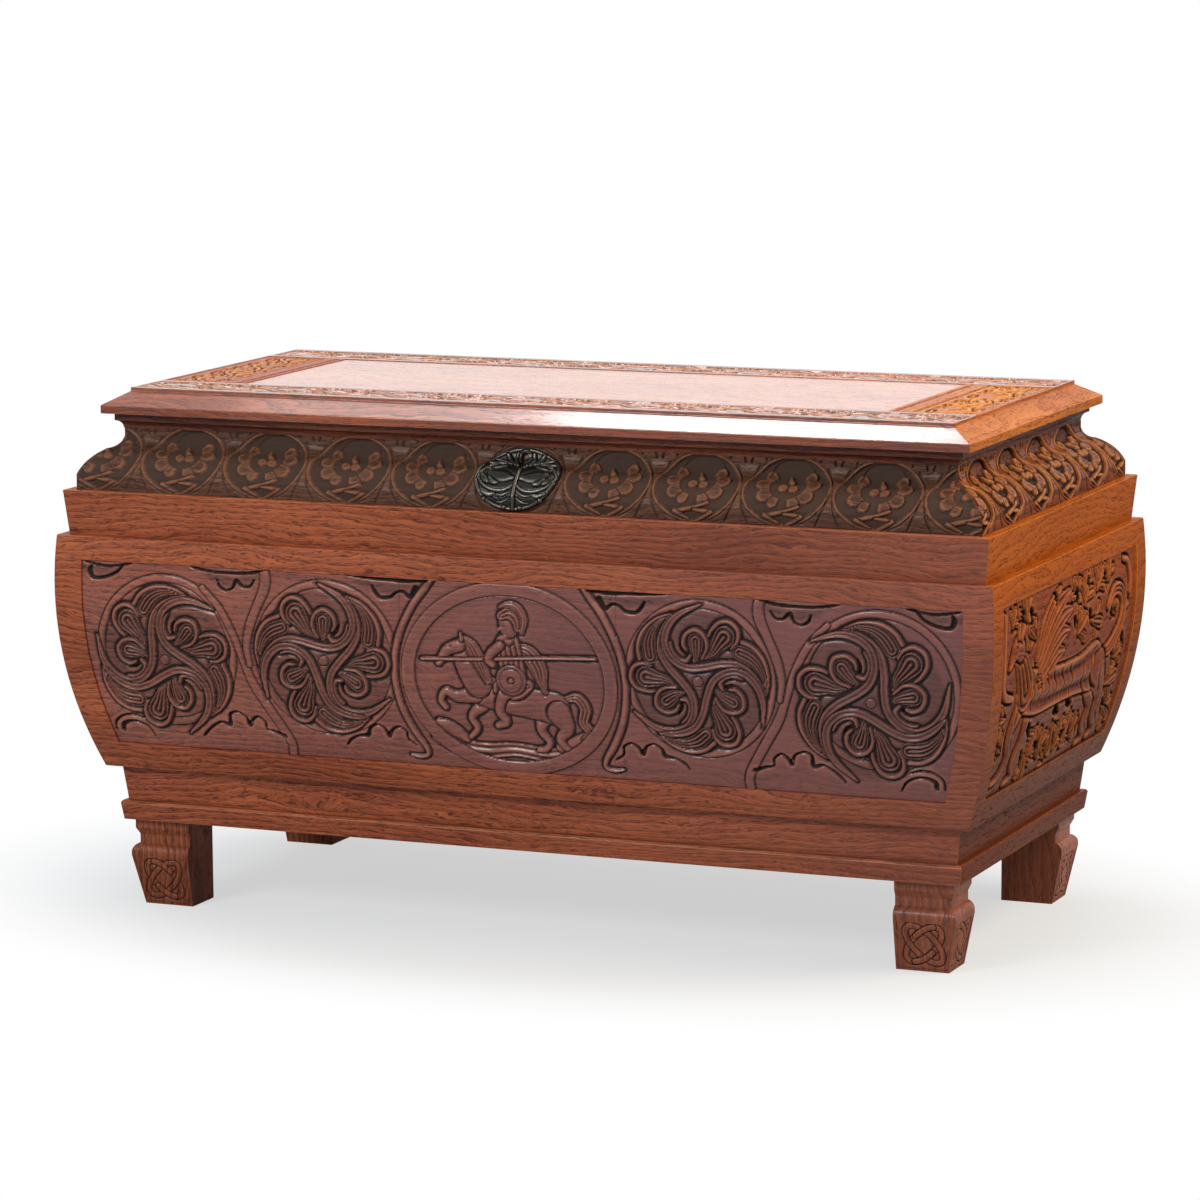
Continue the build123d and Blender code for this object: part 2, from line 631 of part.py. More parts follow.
for owner, rise in (("carcass", -1), ("lid", 1)):
    with BuildPart() as hinge_nails:
        nail(hinge_nail_seats(rise))
    finish(hinge_nails, f"hinge_nails_{owner}")

# --- Lock -----------------------------------------------------------------------------
# A flanged iron box lock on the inside of the front. Its bolt slides through a loop that
# hangs from the lid into a slot in the top of the case.

bolt_z = lid_z - BOLT_DROP
bolt_right = -KEEPER_LOOP_THICKNESS / 2 - BOLT_TO_KEEPER
keeper_foot_z = lid_z - KEEPER_LOOP_DROP
on_wood = (Align.CENTER, Align.MIN, Align.MAX)

with BuildPart() as lock_case:
    with Locations((0, -mouth_y, lock_top_z)):
        Box(LOCK_FLANGE_WIDTH, LOCK_FLANGE_THICKNESS, LOCK_HEIGHT, align=on_wood)
        Box(LOCK_WIDTH, LOCK_DEPTH, LOCK_HEIGHT, align=on_wood)
    with Locations((0, lock_mid_y, keeper_foot_z - KEEPER_PLAY)):
        Box(
            KEEPER_LOOP_THICKNESS + 2 * KEEPER_PLAY,
            KEEPER_LOOP_WIDTH + 2 * KEEPER_PLAY,
            KEEPER_LOOP_DROP + KEEPER_PLAY,
            align=(Align.CENTER, Align.CENTER, Align.MIN),
            mode=Mode.SUBTRACT,
        )
    with Locations((bolt_right - BOLT_LENGTH - BOLT_PLAY, lock_mid_y, bolt_z)):
        Box(
            BOLT_LENGTH + BOLT_THROW + 2 * BOLT_PLAY,
            BOLT_THICKNESS + 2 * BOLT_PLAY,
            BOLT_HEIGHT + 2 * BOLT_PLAY,
            align=(Align.MIN, Align.CENTER, Align.CENTER),
            mode=Mode.SUBTRACT,
        )
    cut_keyhole(KEYHOLE_IN_LOCK - mouth_y, KEYHOLE_IN_LOCK)
    nail(lock_nail_seats, NAIL_PLAY, Mode.SUBTRACT)
finish(lock_case, "lock_case")

with BuildPart() as lock_nails:
    nail(lock_nail_seats)
finish(lock_nails, "lock_nails")

with BuildPart() as lock_bolt:
    with Locations((bolt_right, lock_mid_y, bolt_z)):
        Box(BOLT_LENGTH, BOLT_THICKNESS, BOLT_HEIGHT, align=(Align.MAX, Align.CENTER, Align.CENTER))
    with Locations(Location((bolt_right - BOLT_LENGTH / 2, lock_mid_y, bolt_z - BOLT_HEIGHT / 2), (90, 0, 0))):
        Cylinder(TALON_RADIUS, BOLT_THICKNESS, mode=Mode.SUBTRACT)
finish(lock_bolt, "lock_bolt")

with BuildPart() as lock_keeper:
    with BuildSketch(Plane.XY.offset(lid_z)):
        with Locations((0, lock_mid_y)):
            Rectangle(KEEPER_PLATE_LENGTH, KEEPER_PLATE_WIDTH)
    extrude(amount=KEEPER_PLATE_THICKNESS)
    with Locations((0, lock_mid_y, lid_z)):
        Box(
            KEEPER_LOOP_THICKNESS,
            KEEPER_LOOP_WIDTH,
            KEEPER_LOOP_DROP,
            align=(Align.CENTER, Align.CENTER, Align.MAX),
        )
    with Locations((0, lock_mid_y, bolt_z)):
        Box(
            KEEPER_LOOP_THICKNESS,
            BOLT_THICKNESS + 2 * KEEPER_HOLE_PLAY,
            BOLT_HEIGHT + 2 * KEEPER_HOLE_PLAY,
            mode=Mode.SUBTRACT,
        )
    nail(keeper_nail_seats, NAIL_PLAY, Mode.SUBTRACT)
finish(lock_keeper, "lock_keeper")

with BuildPart() as keeper_nails:
    nail(keeper_nail_seats)
finish(keeper_nails, "keeper_nails")

# --- Escutcheon -----------------------------------------------------------------------
# An oval of iron plate that lies on the whole height of the front cornice.

escutcheon_z = cornice_z + CORNICE_HEIGHT / 2


def cornice_block(stand_off):
    """A length of solid cornice whose face stands off the real one, for cutting the plate."""
    plan_reach = reach["front"] + stand_off
    with BuildPart() as block:
        with BuildSketch(section_plane("front")):
            with BuildLine():
                cornice_face(plan_reach)
                Polyline(
                    (plan_reach - CORNICE_NECK_INSET, rim_z),
                    (plan_reach - MOUTH_INSET, rim_z),
                    (plan_reach - MOUTH_INSET, cornice_z),
                    (plan_reach - CORNICE_FOOT_INSET, cornice_z),
                )
            make_face()
        extrude(amount=ESCUTCHEON_LENGTH, both=True)
    return block.part


plate_face = cornice_block(ESCUTCHEON_SEAT_GAP + ESCUTCHEON_THICKNESS)
plate_back = cornice_block(ESCUTCHEON_SEAT_GAP)

with BuildPart() as escutcheon:
    add(plate_face)
    add(plate_back, mode=Mode.SUBTRACT)
    with BuildSketch(front_plane(-mouth_y, escutcheon_z)):
        Ellipse(ESCUTCHEON_LENGTH / 2, ESCUTCHEON_HEIGHT / 2)
    extrude(amount=MOUTH_INSET, mode=Mode.INTERSECT)
    cut_keyhole(-mouth_y, MOUTH_INSET)
finish(escutcheon, "escutcheon")
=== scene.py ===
import math

import bmesh
import bpy
import numpy as np
from mathutils import Matrix, Vector


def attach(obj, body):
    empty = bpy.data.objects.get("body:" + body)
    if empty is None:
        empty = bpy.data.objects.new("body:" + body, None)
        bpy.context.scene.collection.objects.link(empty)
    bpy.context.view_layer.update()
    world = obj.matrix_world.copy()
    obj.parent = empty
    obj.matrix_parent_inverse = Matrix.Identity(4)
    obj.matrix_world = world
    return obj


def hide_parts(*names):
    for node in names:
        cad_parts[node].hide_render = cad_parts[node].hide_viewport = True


# A carved oak cassone, dressed piece by piece in the order in which it is put together.
# Metres and the row frame throughout: +X along the chest, -Y out of its front, +Z up.
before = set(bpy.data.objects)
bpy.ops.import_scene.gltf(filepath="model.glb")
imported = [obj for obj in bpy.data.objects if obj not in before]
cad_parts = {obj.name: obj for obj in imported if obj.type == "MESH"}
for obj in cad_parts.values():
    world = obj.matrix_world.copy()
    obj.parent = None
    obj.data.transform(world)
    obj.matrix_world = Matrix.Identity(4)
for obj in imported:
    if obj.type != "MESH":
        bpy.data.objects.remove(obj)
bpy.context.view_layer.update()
scene = bpy.context.scene
scene.view_settings.view_transform = "Standard"


# --- Studio ---------------------------------------------------------------------------
# A pale floor that fades to white in a white light tent: a broad soft lamp over the chest, two
# narrow ones that the lid's front bevel mirrors, a warm one at the right end and one in front.

def paint(hex_colour):
    """An sRGB hex colour as the linear colour that a socket takes."""
    parts = [int(hex_colour[i:i + 2], 16) / 255 for i in (1, 3, 5)]
    linear = [p / 12.92 if p <= 0.04045 else ((p + 0.055) / 1.055) ** 2.4 for p in parts]
    return (*linear, 1.0)


def add_node(tree, kind, sockets=(), **settings):
    """Add a shader node, then set its properties, and set or link its inputs."""
    node = tree.nodes.new("ShaderNode" + kind)
    for name, value in settings.items():
        setattr(node, name, value)
    for socket, value in dict(sockets).items():
        if isinstance(value, bpy.types.NodeSocket):
            tree.links.new(value, node.inputs[socket])
        else:
            node.inputs[socket].default_value = value
    return node


def bare_tree(holder):
    """The node tree of a new material or world, emptied."""
    holder.use_nodes = True
    holder.node_tree.nodes.clear()
    return holder.node_tree


CAMERA_PLACE = (2.5008, -6.0136, 1.4454)
CAMERA_YAW = math.radians(22.634)
CAMERA_PITCH = math.radians(9.038)
CAMERA_ROLL = math.radians(-0.328)
CAMERA_LENS = 147.63
CAMERA_SENSOR = 36

forward = Vector((-math.sin(CAMERA_YAW) * math.cos(CAMERA_PITCH),
                  math.cos(CAMERA_YAW) * math.cos(CAMERA_PITCH),
                  -math.sin(CAMERA_PITCH)))
level_right = Vector((math.cos(CAMERA_YAW), math.sin(CAMERA_YAW), 0))
level_up = level_right.cross(forward)
camera_right = math.cos(CAMERA_ROLL) * level_right + math.sin(CAMERA_ROLL) * level_up
camera_up = math.cos(CAMERA_ROLL) * level_up - math.sin(CAMERA_ROLL) * level_right
camera = bpy.data.objects.new("camera", bpy.data.cameras.new("camera"))
scene.collection.objects.link(camera)
camera.data.lens = CAMERA_LENS
camera.data.sensor_width = CAMERA_SENSOR
turn = Matrix((camera_right, camera_up, -forward)).transposed()
camera.matrix_world = Matrix.Translation(CAMERA_PLACE) @ turn.to_4x4()
scene.camera = camera


def soft_lamp(name, place, aim, width, height, watts, tint):
    """A soft lamp at a place, turned towards an aim."""
    lamp = bpy.data.lights.new(name, "AREA")
    lamp.shape, lamp.size, lamp.size_y = "RECTANGLE", width, height
    lamp.energy, lamp.color = watts, paint(tint)[:3]
    holder = bpy.data.objects.new(name, lamp)
    scene.collection.objects.link(holder)
    holder.location = place
    holder.rotation_euler = (Vector(aim) - Vector(place)).to_track_quat("-Z", "Y").to_euler()


soft_lamp("lamp_over", (0.3, 0.4, 3.2), (0, 0, 0.4), 2.6, 2.6, 26, "#ffffff")
soft_lamp("lamp_bevel", (-0.46, 0.56, 2.6), (-0.46, 0.56, 0.0), 0.74, 0.6, 22, "#ffffff")
soft_lamp("lamp_bevel_edge", (-1.13, 0.56, 2.6), (-1.13, 0.56, 0.0), 0.6, 0.6, 2.8, "#ffffff")
soft_lamp("lamp_right", (1.9, -0.15, 1.95), (0.62, 0, 0.5), 0.9, 0.9, 44, "#ffe0b4")
soft_lamp("lamp_front", (-1.5, -3.9, 2.6), (0, 0, 0.4), 1.4, 1.4, 116, "#fffaf8")

TENT_FILL = 0.36
world = bpy.data.worlds.new("white_tent")
scene.world = world
tree = bare_tree(world)
path = add_node(tree, "LightPath")
seen = add_node(tree, "Math", {0: path.outputs["Is Camera Ray"], 1: path.outputs["Is Glossy Ray"]},
                operation="MAXIMUM")
fill = add_node(tree, "Background", {"Color": (0.94, 0.96, 1.0, 1), "Strength": TENT_FILL})
shown = add_node(tree, "Background", {"Color": (1, 1, 1, 1), "Strength": 1.0})
either = add_node(tree, "MixShader", {0: seen.outputs[0], 1: fill.outputs[0], 2: shown.outputs[0]})
add_node(tree, "OutputWorld", {"Surface": either.outputs[0]})

FLOOR_SIZE = 40.0
FLOOR_NEAR = 0.57
FLOOR_FAR = 1.04
FLOOR_GLOW = 0.6
FLOOR_SQUEEZE = (1.0, 1.45, 1.0)
bpy.ops.object.select_all(action="DESELECT")
bpy.ops.mesh.primitive_plane_add(size=FLOOR_SIZE)
floor = bpy.context.object
floor.name = "floor"
studio_white = bpy.data.materials.new("studio_white")
tree = bare_tree(studio_white)
path = add_node(tree, "LightPath")
place = add_node(tree, "TexCoord")
squeezed = add_node(tree, "Mapping", {"Vector": place.outputs["Object"], "Scale": FLOOR_SQUEEZE})
distance = add_node(tree, "VectorMath", {0: squeezed.outputs[0]}, operation="LENGTH")
fade = add_node(tree, "MapRange", {"Value": distance.outputs["Value"], "From Min": FLOOR_NEAR,
                                   "From Max": FLOOR_FAR, "To Min": FLOOR_GLOW},
                interpolation_type="SMOOTHSTEP")
glow = add_node(tree, "Math", {0: fade.outputs[0], 1: path.outputs["Is Camera Ray"]}, operation="MULTIPLY")
matt = add_node(tree, "BsdfDiffuse", {"Color": paint("#bcc4ca")})
white = add_node(tree, "Emission", {"Color": (1, 1, 1, 1), "Strength": 1.0})
either = add_node(tree, "MixShader", {0: glow.outputs[0], 1: matt.outputs[0], 2: white.outputs[0]})
add_node(tree, "OutputMaterial", {"Surface": either.outputs[0]})
floor.data.materials.append(studio_white)


# --- Straight courses -----------------------------------------------------------------
# Plinth, base boards, friezes, rims and bottom boards: oak planed to a moulding, mitred and
# glued. The arrises are eased and painted pale, partly as hand-planed and waxed edges wear,
# partly as painted highlight where they catch the light.

def dirt_shade_wear_highlight(tree, colour, dirt_shade, wear_highlight):
    """Dirt and painted shade in a piece's hollows, wear and painted highlight on its crests, then how much of
    each lies at a point.
    """
    dirt_and_shade, worn_highlit = [add_node(tree, "Attribute", attribute_name=name).outputs["Fac"]
                    for name in ("dirt_and_shade", "worn_highlit")]
    dirty_shaded = add_node(tree, "Mix", {"Factor": dirt_and_shade, "A": colour, "B": paint(dirt_shade)}, data_type="RGBA")
    rubbed_highlit = add_node(tree, "Mix", {"Factor": worn_highlit, "A": dirty_shaded.outputs["Result"], "B": paint(wear_highlight)},
                      data_type="RGBA")
    return rubbed_highlit.outputs["Result"], dirt_and_shade, worn_highlit


RING_MM = 9.0
RING_CENTRE = (0.13, 0.21)


def stained_oak(name, grain, early, late, pore, roughness, coat, dirt_shade="#1a0b08", wear_highlight="#a4683f",
                gloss=0.25, fibre_lift=1.5, age_tint_and_painted_light=None):
    """Oil-stained, waxed oak, with its grain along one axis: rings, fibre and open pores."""
    material = bpy.data.materials.new(name)
    tree = bare_tree(material)
    place = add_node(tree, "TexCoord")
    turned = place.outputs["Object"]
    if grain != "X":
        quarter = (0, 0, math.pi / 2) if grain == "Y" else (0, math.pi / 2, 0)
        turned = add_node(tree, "Mapping", {"Vector": turned, "Rotation": quarter}).outputs[0]
    # The rings are cut nearly flat, so they wander over the face in long drawn-out waves
    drift = add_node(tree, "Mapping", {"Vector": turned, "Scale": (1.6, 6.0, 6.0)})
    wander = add_node(tree, "TexNoise", {"Vector": drift.outputs[0], "Scale": 1.6, "Detail": 4.0})
    slope = add_node(tree, "VectorMath", {0: wander.outputs["Color"], 1: (0.0, 0.09, 0.09)},
                     operation="MULTIPLY")
    moved = add_node(tree, "VectorMath", {0: turned, 1: slope.outputs[0]}, operation="ADD")
    centred = add_node(tree, "Mapping", {"Vector": moved.outputs[0], "Location": (0, *RING_CENTRE),
                                         "Scale": (0.06, 1.0, 1.0)})
    rings = add_node(tree, "TexWave", {"Vector": centred.outputs[0],
                                       "Scale": 2 * math.pi / 20 / (RING_MM / 1000),
                                       "Distortion": 2.4, "Detail": 3.0, "Detail Scale": 0.8},
                     wave_type="RINGS", rings_direction="X", wave_profile="SAW")
    # Fibre, about 1.5 mm across and 60 mm long
    drawn = add_node(tree, "Mapping", {"Vector": moved.outputs[0], "Scale": (16, 620, 620)})
    fibre = add_node(tree, "TexNoise", {"Vector": drawn.outputs[0], "Scale": 1.0, "Detail": 3.0})
    # Pores, about 1 mm across and 12 mm long, which gather in the early wood of each ring
    cells = add_node(tree, "Mapping", {"Vector": moved.outputs[0], "Scale": (60, 780, 780)})
    dashes = add_node(tree, "TexNoise", {"Vector": cells.outputs[0], "Scale": 1.0, "Detail": 1.0})
    gather = add_node(tree, "MapRange", {"Value": rings.outputs["Fac"], "To Min": 0.5, "To Max": 0.62})
    bite = add_node(tree, "Math", {0: dashes.outputs["Fac"], 1: gather.outputs[0]}, operation="SUBTRACT")
    pores = add_node(tree, "MapRange", {"Value": bite.outputs[0], "From Min": 0.0, "From Max": 0.07})
    # Stain lies unevenly in broad clouds along the board
    broad = add_node(tree, "Mapping", {"Vector": turned, "Scale": (2.6, 11.0, 11.0)})
    clouds = add_node(tree, "TexNoise", {"Vector": broad.outputs[0], "Scale": 1.0, "Detail": 3.0})
    body = add_node(tree, "MapRange", {"Value": rings.outputs["Fac"], "To Min": 0.25, "To Max": 0.75})
    lift = add_node(tree, "Math", {0: clouds.outputs["Fac"], 1: 0.5}, operation="SUBTRACT")
    cloudy = add_node(tree, "Math", {0: lift.outputs[0], 1: 1.6, 2: body.outputs[0]},
                      operation="MULTIPLY_ADD")
    grain_lift = add_node(tree, "Math", {0: fibre.outputs["Fac"], 1: 0.5}, operation="SUBTRACT")
    mixed = add_node(tree, "Math", {0: grain_lift.outputs[0], 1: fibre_lift, 2: cloudy.outputs[0]},
                     operation="MULTIPLY_ADD", use_clamp=True)
    wood = add_node(tree, "Mix", {"Factor": mixed.outputs[0], "A": paint(early), "B": paint(late)},
                    data_type="RGBA")
    darkened = add_node(tree, "Math", {0: pores.outputs[0], 1: 0.62}, operation="MULTIPLY")
    pored = add_node(tree, "Mix", {"Factor": darkened.outputs[0], "A": wood.outputs["Result"],
                                   "B": paint(pore)}, data_type="RGBA")
    if age_tint_and_painted_light:
        # A tint that grows along one axis of the chest: partly a stain changed with age, partly painted light
        # and shade, as noted where each material is made
        axis, start, stop, share, tone = age_tint_and_painted_light
        split = add_node(tree, "SeparateXYZ", {"Vector": place.outputs["Object"]})
        change = add_node(tree, "MapRange", {"Value": split.outputs[axis], "From Min": start,
                                             "From Max": stop, "To Max": share})
        pored = add_node(tree, "Mix", {"Factor": change.outputs[0], "A": pored.outputs["Result"],
                                       "B": paint(tone)}, data_type="RGBA")
    # Where a piece is carved, its hollows are painted dark and left dull, partly as old wax and dirt, partly
    # as painted shade; its crests are painted pale, partly as wear, partly as painted highlight
    colour, dirt_and_shade, worn_highlit = dirt_shade_wear_highlight(tree, pored.outputs["Result"], dirt_shade, wear_highlight)
    relief = add_node(tree, "Math", {0: pores.outputs[0], 1: -0.8, 2: fibre.outputs["Fac"]},
                      operation="MULTIPLY_ADD")
    bump = add_node(tree, "Bump", {"Height": relief.outputs[0], "Strength": 0.35, "Distance": 0.0006})
    dull = add_node(tree, "MapRange", {"Value": pores.outputs[0], "To Min": roughness,
                                       "To Max": roughness + 0.25})
    dusty = add_node(tree, "Math", {0: dirt_and_shade, 1: 0.4, 2: dull.outputs[0]}, operation="MULTIPLY_ADD",
                     use_clamp=True)
    wax = add_node(tree, "MapRange", {"Value": dirt_and_shade, "To Min": coat, "To Max": 0.0})
    shader = add_node(tree, "BsdfPrincipled", {
        "Base Color": colour, "Roughness": dusty.outputs[0], "Normal": bump.outputs[0],
        "IOR": 1.5, "Specular IOR Level": gloss, "Coat Weight": wax.outputs[0],
        "Coat Roughness": 0.14, "Coat IOR": 1.5})
    add_node(tree, "OutputMaterial", {"Surface": shader.outputs[0]})
    return material


WOOD = {"X": ("#682c18", "#a85a36"), "Z": ("#5c2814", "#985434")}
# On the front, the rear and the feet, the pale pinkish tint towards the right end is a painted reflection. On
# the end boards the darkening towards the bottom is partly a stain, partly painted shade where less light
# falls.
body_oak = {grain: stained_oak(f"stained_oak_body_{grain.lower()}", grain, *WOOD[grain], "#240b05",
                               0.4, 0.08, gloss=0.2, age_tint_and_painted_light=("X", -0.1, 0.6, 0.3, "#8c5a50")) for grain in "XZ"}
body_oak["Y"] = stained_oak("stained_oak_body_y", "Y", "#86400a", "#a85a14", "#5c2a06", 0.4, 0.0,
                            wear_highlight="#b87838", gloss=0.04, fibre_lift=0.5, age_tint_and_painted_light=("Z", 0.5, 0.2, 0.8, "#4c2420"))
# On the front carving the purplish tint towards the right is partly a stain, partly painted light that leaves
# the left end orange as if lit. On the end carvings the darkening towards the bottom is partly a stain,
# partly painted shade.
carved_oak = {
    "X": stained_oak("stained_oak_carved_x", "X", "#5c2418", "#965038", "#1c0a0a", 0.34, 0.35, dirt_shade="#0c0404",
                     wear_highlight="#a06450", gloss=0.4, age_tint_and_painted_light=("X", -0.5, 0.3, 0.65, "#663a3c")),
    "Y": stained_oak("stained_oak_carved_y", "Y", "#7a3410", "#a0501c", "#3a1808", 0.3, 0.0, dirt_shade="#0a0404",
                     wear_highlight="#ac6e44", gloss=0.05, fibre_lift=0.5, age_tint_and_painted_light=("Z", 0.5, 0.24, 0.85, "#4c221c"))}
# The rims are painted dark: painted shade where the lid's overhang shades them.
rim_oak_painted_shade = {grain: stained_oak(f"oak_rim_painted_shade_{grain.lower()}", grain, "#3c170e", "#6e3822", "#160705",
                              0.4, 0.1, gloss=0.2) for grain in "XY"}
plain_oak = stained_oak("bare_oak_inside", "X", "#8a6446", "#a98560", "#4a3020", 0.62, 0.0)
GRAIN = {"front": "X", "rear": "X", "left": "Y", "right": "Y"}


def make_active(piece):
    """Leave only this piece selected."""
    bpy.ops.object.select_all(action="DESELECT")
    piece.select_set(True)
    bpy.context.view_layer.objects.active = piece


def copy_of(node, name):
    """A copy of a CAD piece, with its loose triangles merged and its flat faces made whole."""
    piece = bpy.data.objects.new(name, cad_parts[node].data.copy())
    scene.collection.objects.link(piece)
    piece.data.materials.clear()
    make_active(piece)
    bpy.ops.object.mode_set(mode="EDIT")
    bpy.ops.mesh.select_all(action="SELECT")
    bpy.ops.mesh.remove_doubles(threshold=0.00001)
    bpy.ops.mesh.dissolve_limited(angle_limit=math.radians(0.6))
    bpy.ops.mesh.normals_make_consistent(inside=False)
    bpy.ops.mesh.customdata_custom_splitnormals_clear()
    bpy.ops.object.mode_set(mode="OBJECT")
    return piece


def ease_arrises(piece, width, wear_highlight=0.5):
    """Round a piece's sharp edges a little, as planing and sanding do, and paint them pale, partly as wear,
    partly as painted highlight.
    """
    make_active(piece)
    bevel = piece.modifiers.new("eased", "BEVEL")
    bevel.width, bevel.segments = width, 2
    bevel.limit_method, bevel.angle_limit = "ANGLE", math.radians(25)
    bpy.ops.object.modifier_apply(modifier=bevel.name)
    bpy.ops.object.shade_smooth_by_angle(angle=math.radians(32))
    flats = piece.modifiers.new("flats", "WEIGHTED_NORMAL")
    flats.keep_sharp = True
    bpy.ops.object.modifier_apply(modifier=flats.name)
    corners = [[piece.data.vertices[index].co for index in face.vertices] for face in piece.data.polygons]
    round_them = [sum((a - b).length for a, b in zip(c, c[1:] + c[:1])) for c in corners]
    layer = piece.data.attributes.new("worn_highlit", "FLOAT", "FACE")
    layer.data.foreach_set("value", [wear_highlight if 2 * face.area < 0.9 * width * run else 0.0
                                     for face, run in zip(piece.data.polygons, round_them)])


def hand_over(piece, material, body, slot, *nodes):
    """Give a piece its material and body, and let it stand for its CAD nodes; its slot is not used."""
    piece.data.materials.clear()
    piece.data.materials.append(material)
    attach(piece, body)
    if nodes:
        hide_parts(*nodes)


ARRIS = 0.0009
for side, grain in GRAIN.items():
    for course in ("plinth", "base_board", "frieze", "rim"):
        node = f"{course}_{side}"
        board = copy_of(node, f"{node}_oak")
        ease_arrises(board, ARRIS, wear_highlight=0.0 if course == "rim" else 0.5)
        hand_over(board, rim_oak_painted_shade[grain] if course == "rim" else body_oak[grain], "carcass", "body_oak", node)

for name in [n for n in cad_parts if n.startswith("bottom_board") or n == "foot_dowels"]:
    board = copy_of(name, f"{name}_oak")
    ease_arrises(board, ARRIS / 2)
    hand_over(board, plain_oak, "carcass", "plain_oak", name)

# --- Carved body boards ---------------------------------------------------------------
# The front and end boards' faces, cut in low relief. Each carving is a skin laid in a bed
# that is sunk in its board, and is worked out in millimetres, as (along, up, depth).

HALF_LENGTH = 650.0
HALF_DEPTH = 325.0
BODY_FOOT_Z = 193.0
BODY_HEIGHT = 317.0
BODY_FOOT_INSET = 42.0
BODY_TOP_INSET = -1.2
BODY_SWELL = 18.9
FIELD_LOW_Z = 228.0
FIELD_HIGH_Z = 478.0
FIELD_END_MARGIN = 40.0
BED_DEPTH = -9.5
# How far a bed's cutter stands proud of its board, and how far a skin reaches into a bed's floor
BED_PROUD = 6.0
SKIN_LAP = 0.5
OUTWARD = {"front": (0, -1), "rear": (0, 1), "left": (-1, 0), "right": (1, 0)}

body_lean = BODY_FOOT_INSET - BODY_TOP_INSET
body_chord = math.hypot(body_lean, BODY_HEIGHT)
face_radius = (body_chord ** 2 / 4 + BODY_SWELL ** 2) / (2 * BODY_SWELL)
to_centre = face_radius - BODY_SWELL
face_centre_inset = (BODY_FOOT_INSET + BODY_TOP_INSET) / 2 + to_centre * BODY_HEIGHT / body_chord
face_centre_z = BODY_FOOT_Z + BODY_HEIGHT / 2 + to_centre * body_lean / body_chord


def body_face(z, depth):
    """Inset and height of a point at a depth from the swelling face, by its height on it."""
    rise = (z - face_centre_z) / face_radius
    out = np.sqrt(1 - rise ** 2) * (face_radius + depth)
    return face_centre_inset - out, face_centre_z + rise * (face_radius + depth)


def on_side(side, along, inset, z):
    """Places in metres on one side of the chest."""
    out_x, out_y = OUTWARD[side]
    reach = (HALF_LENGTH if out_x else HALF_DEPTH) - inset
    x, y = out_x * reach - out_y * along, out_y * reach + out_x * along
    return np.stack(np.broadcast_arrays(x, y, z), -1) / 1000


def smooth_line(points, steps=6):
    """A smooth line through given points of place and half width."""
    p = np.array(points, float)
    p = np.vstack([2 * p[0] - p[1], p, 2 * p[-1] - p[-2]])
    t = np.linspace(0, 1, steps, endpoint=False)[:, None]
    spans = [b + 0.5 * t * (c - a + t * (2 * a - 5 * b + 4 * c - d + t * (3 * b - a - 3 * c + d)))
             for a, b, c, d in zip(p[:-3], p[1:-2], p[2:-1], p[3:])]
    line = np.vstack([*spans, p[-2]])
    line[:, 2] = np.maximum(line[:, 2], 0.2)
    return line


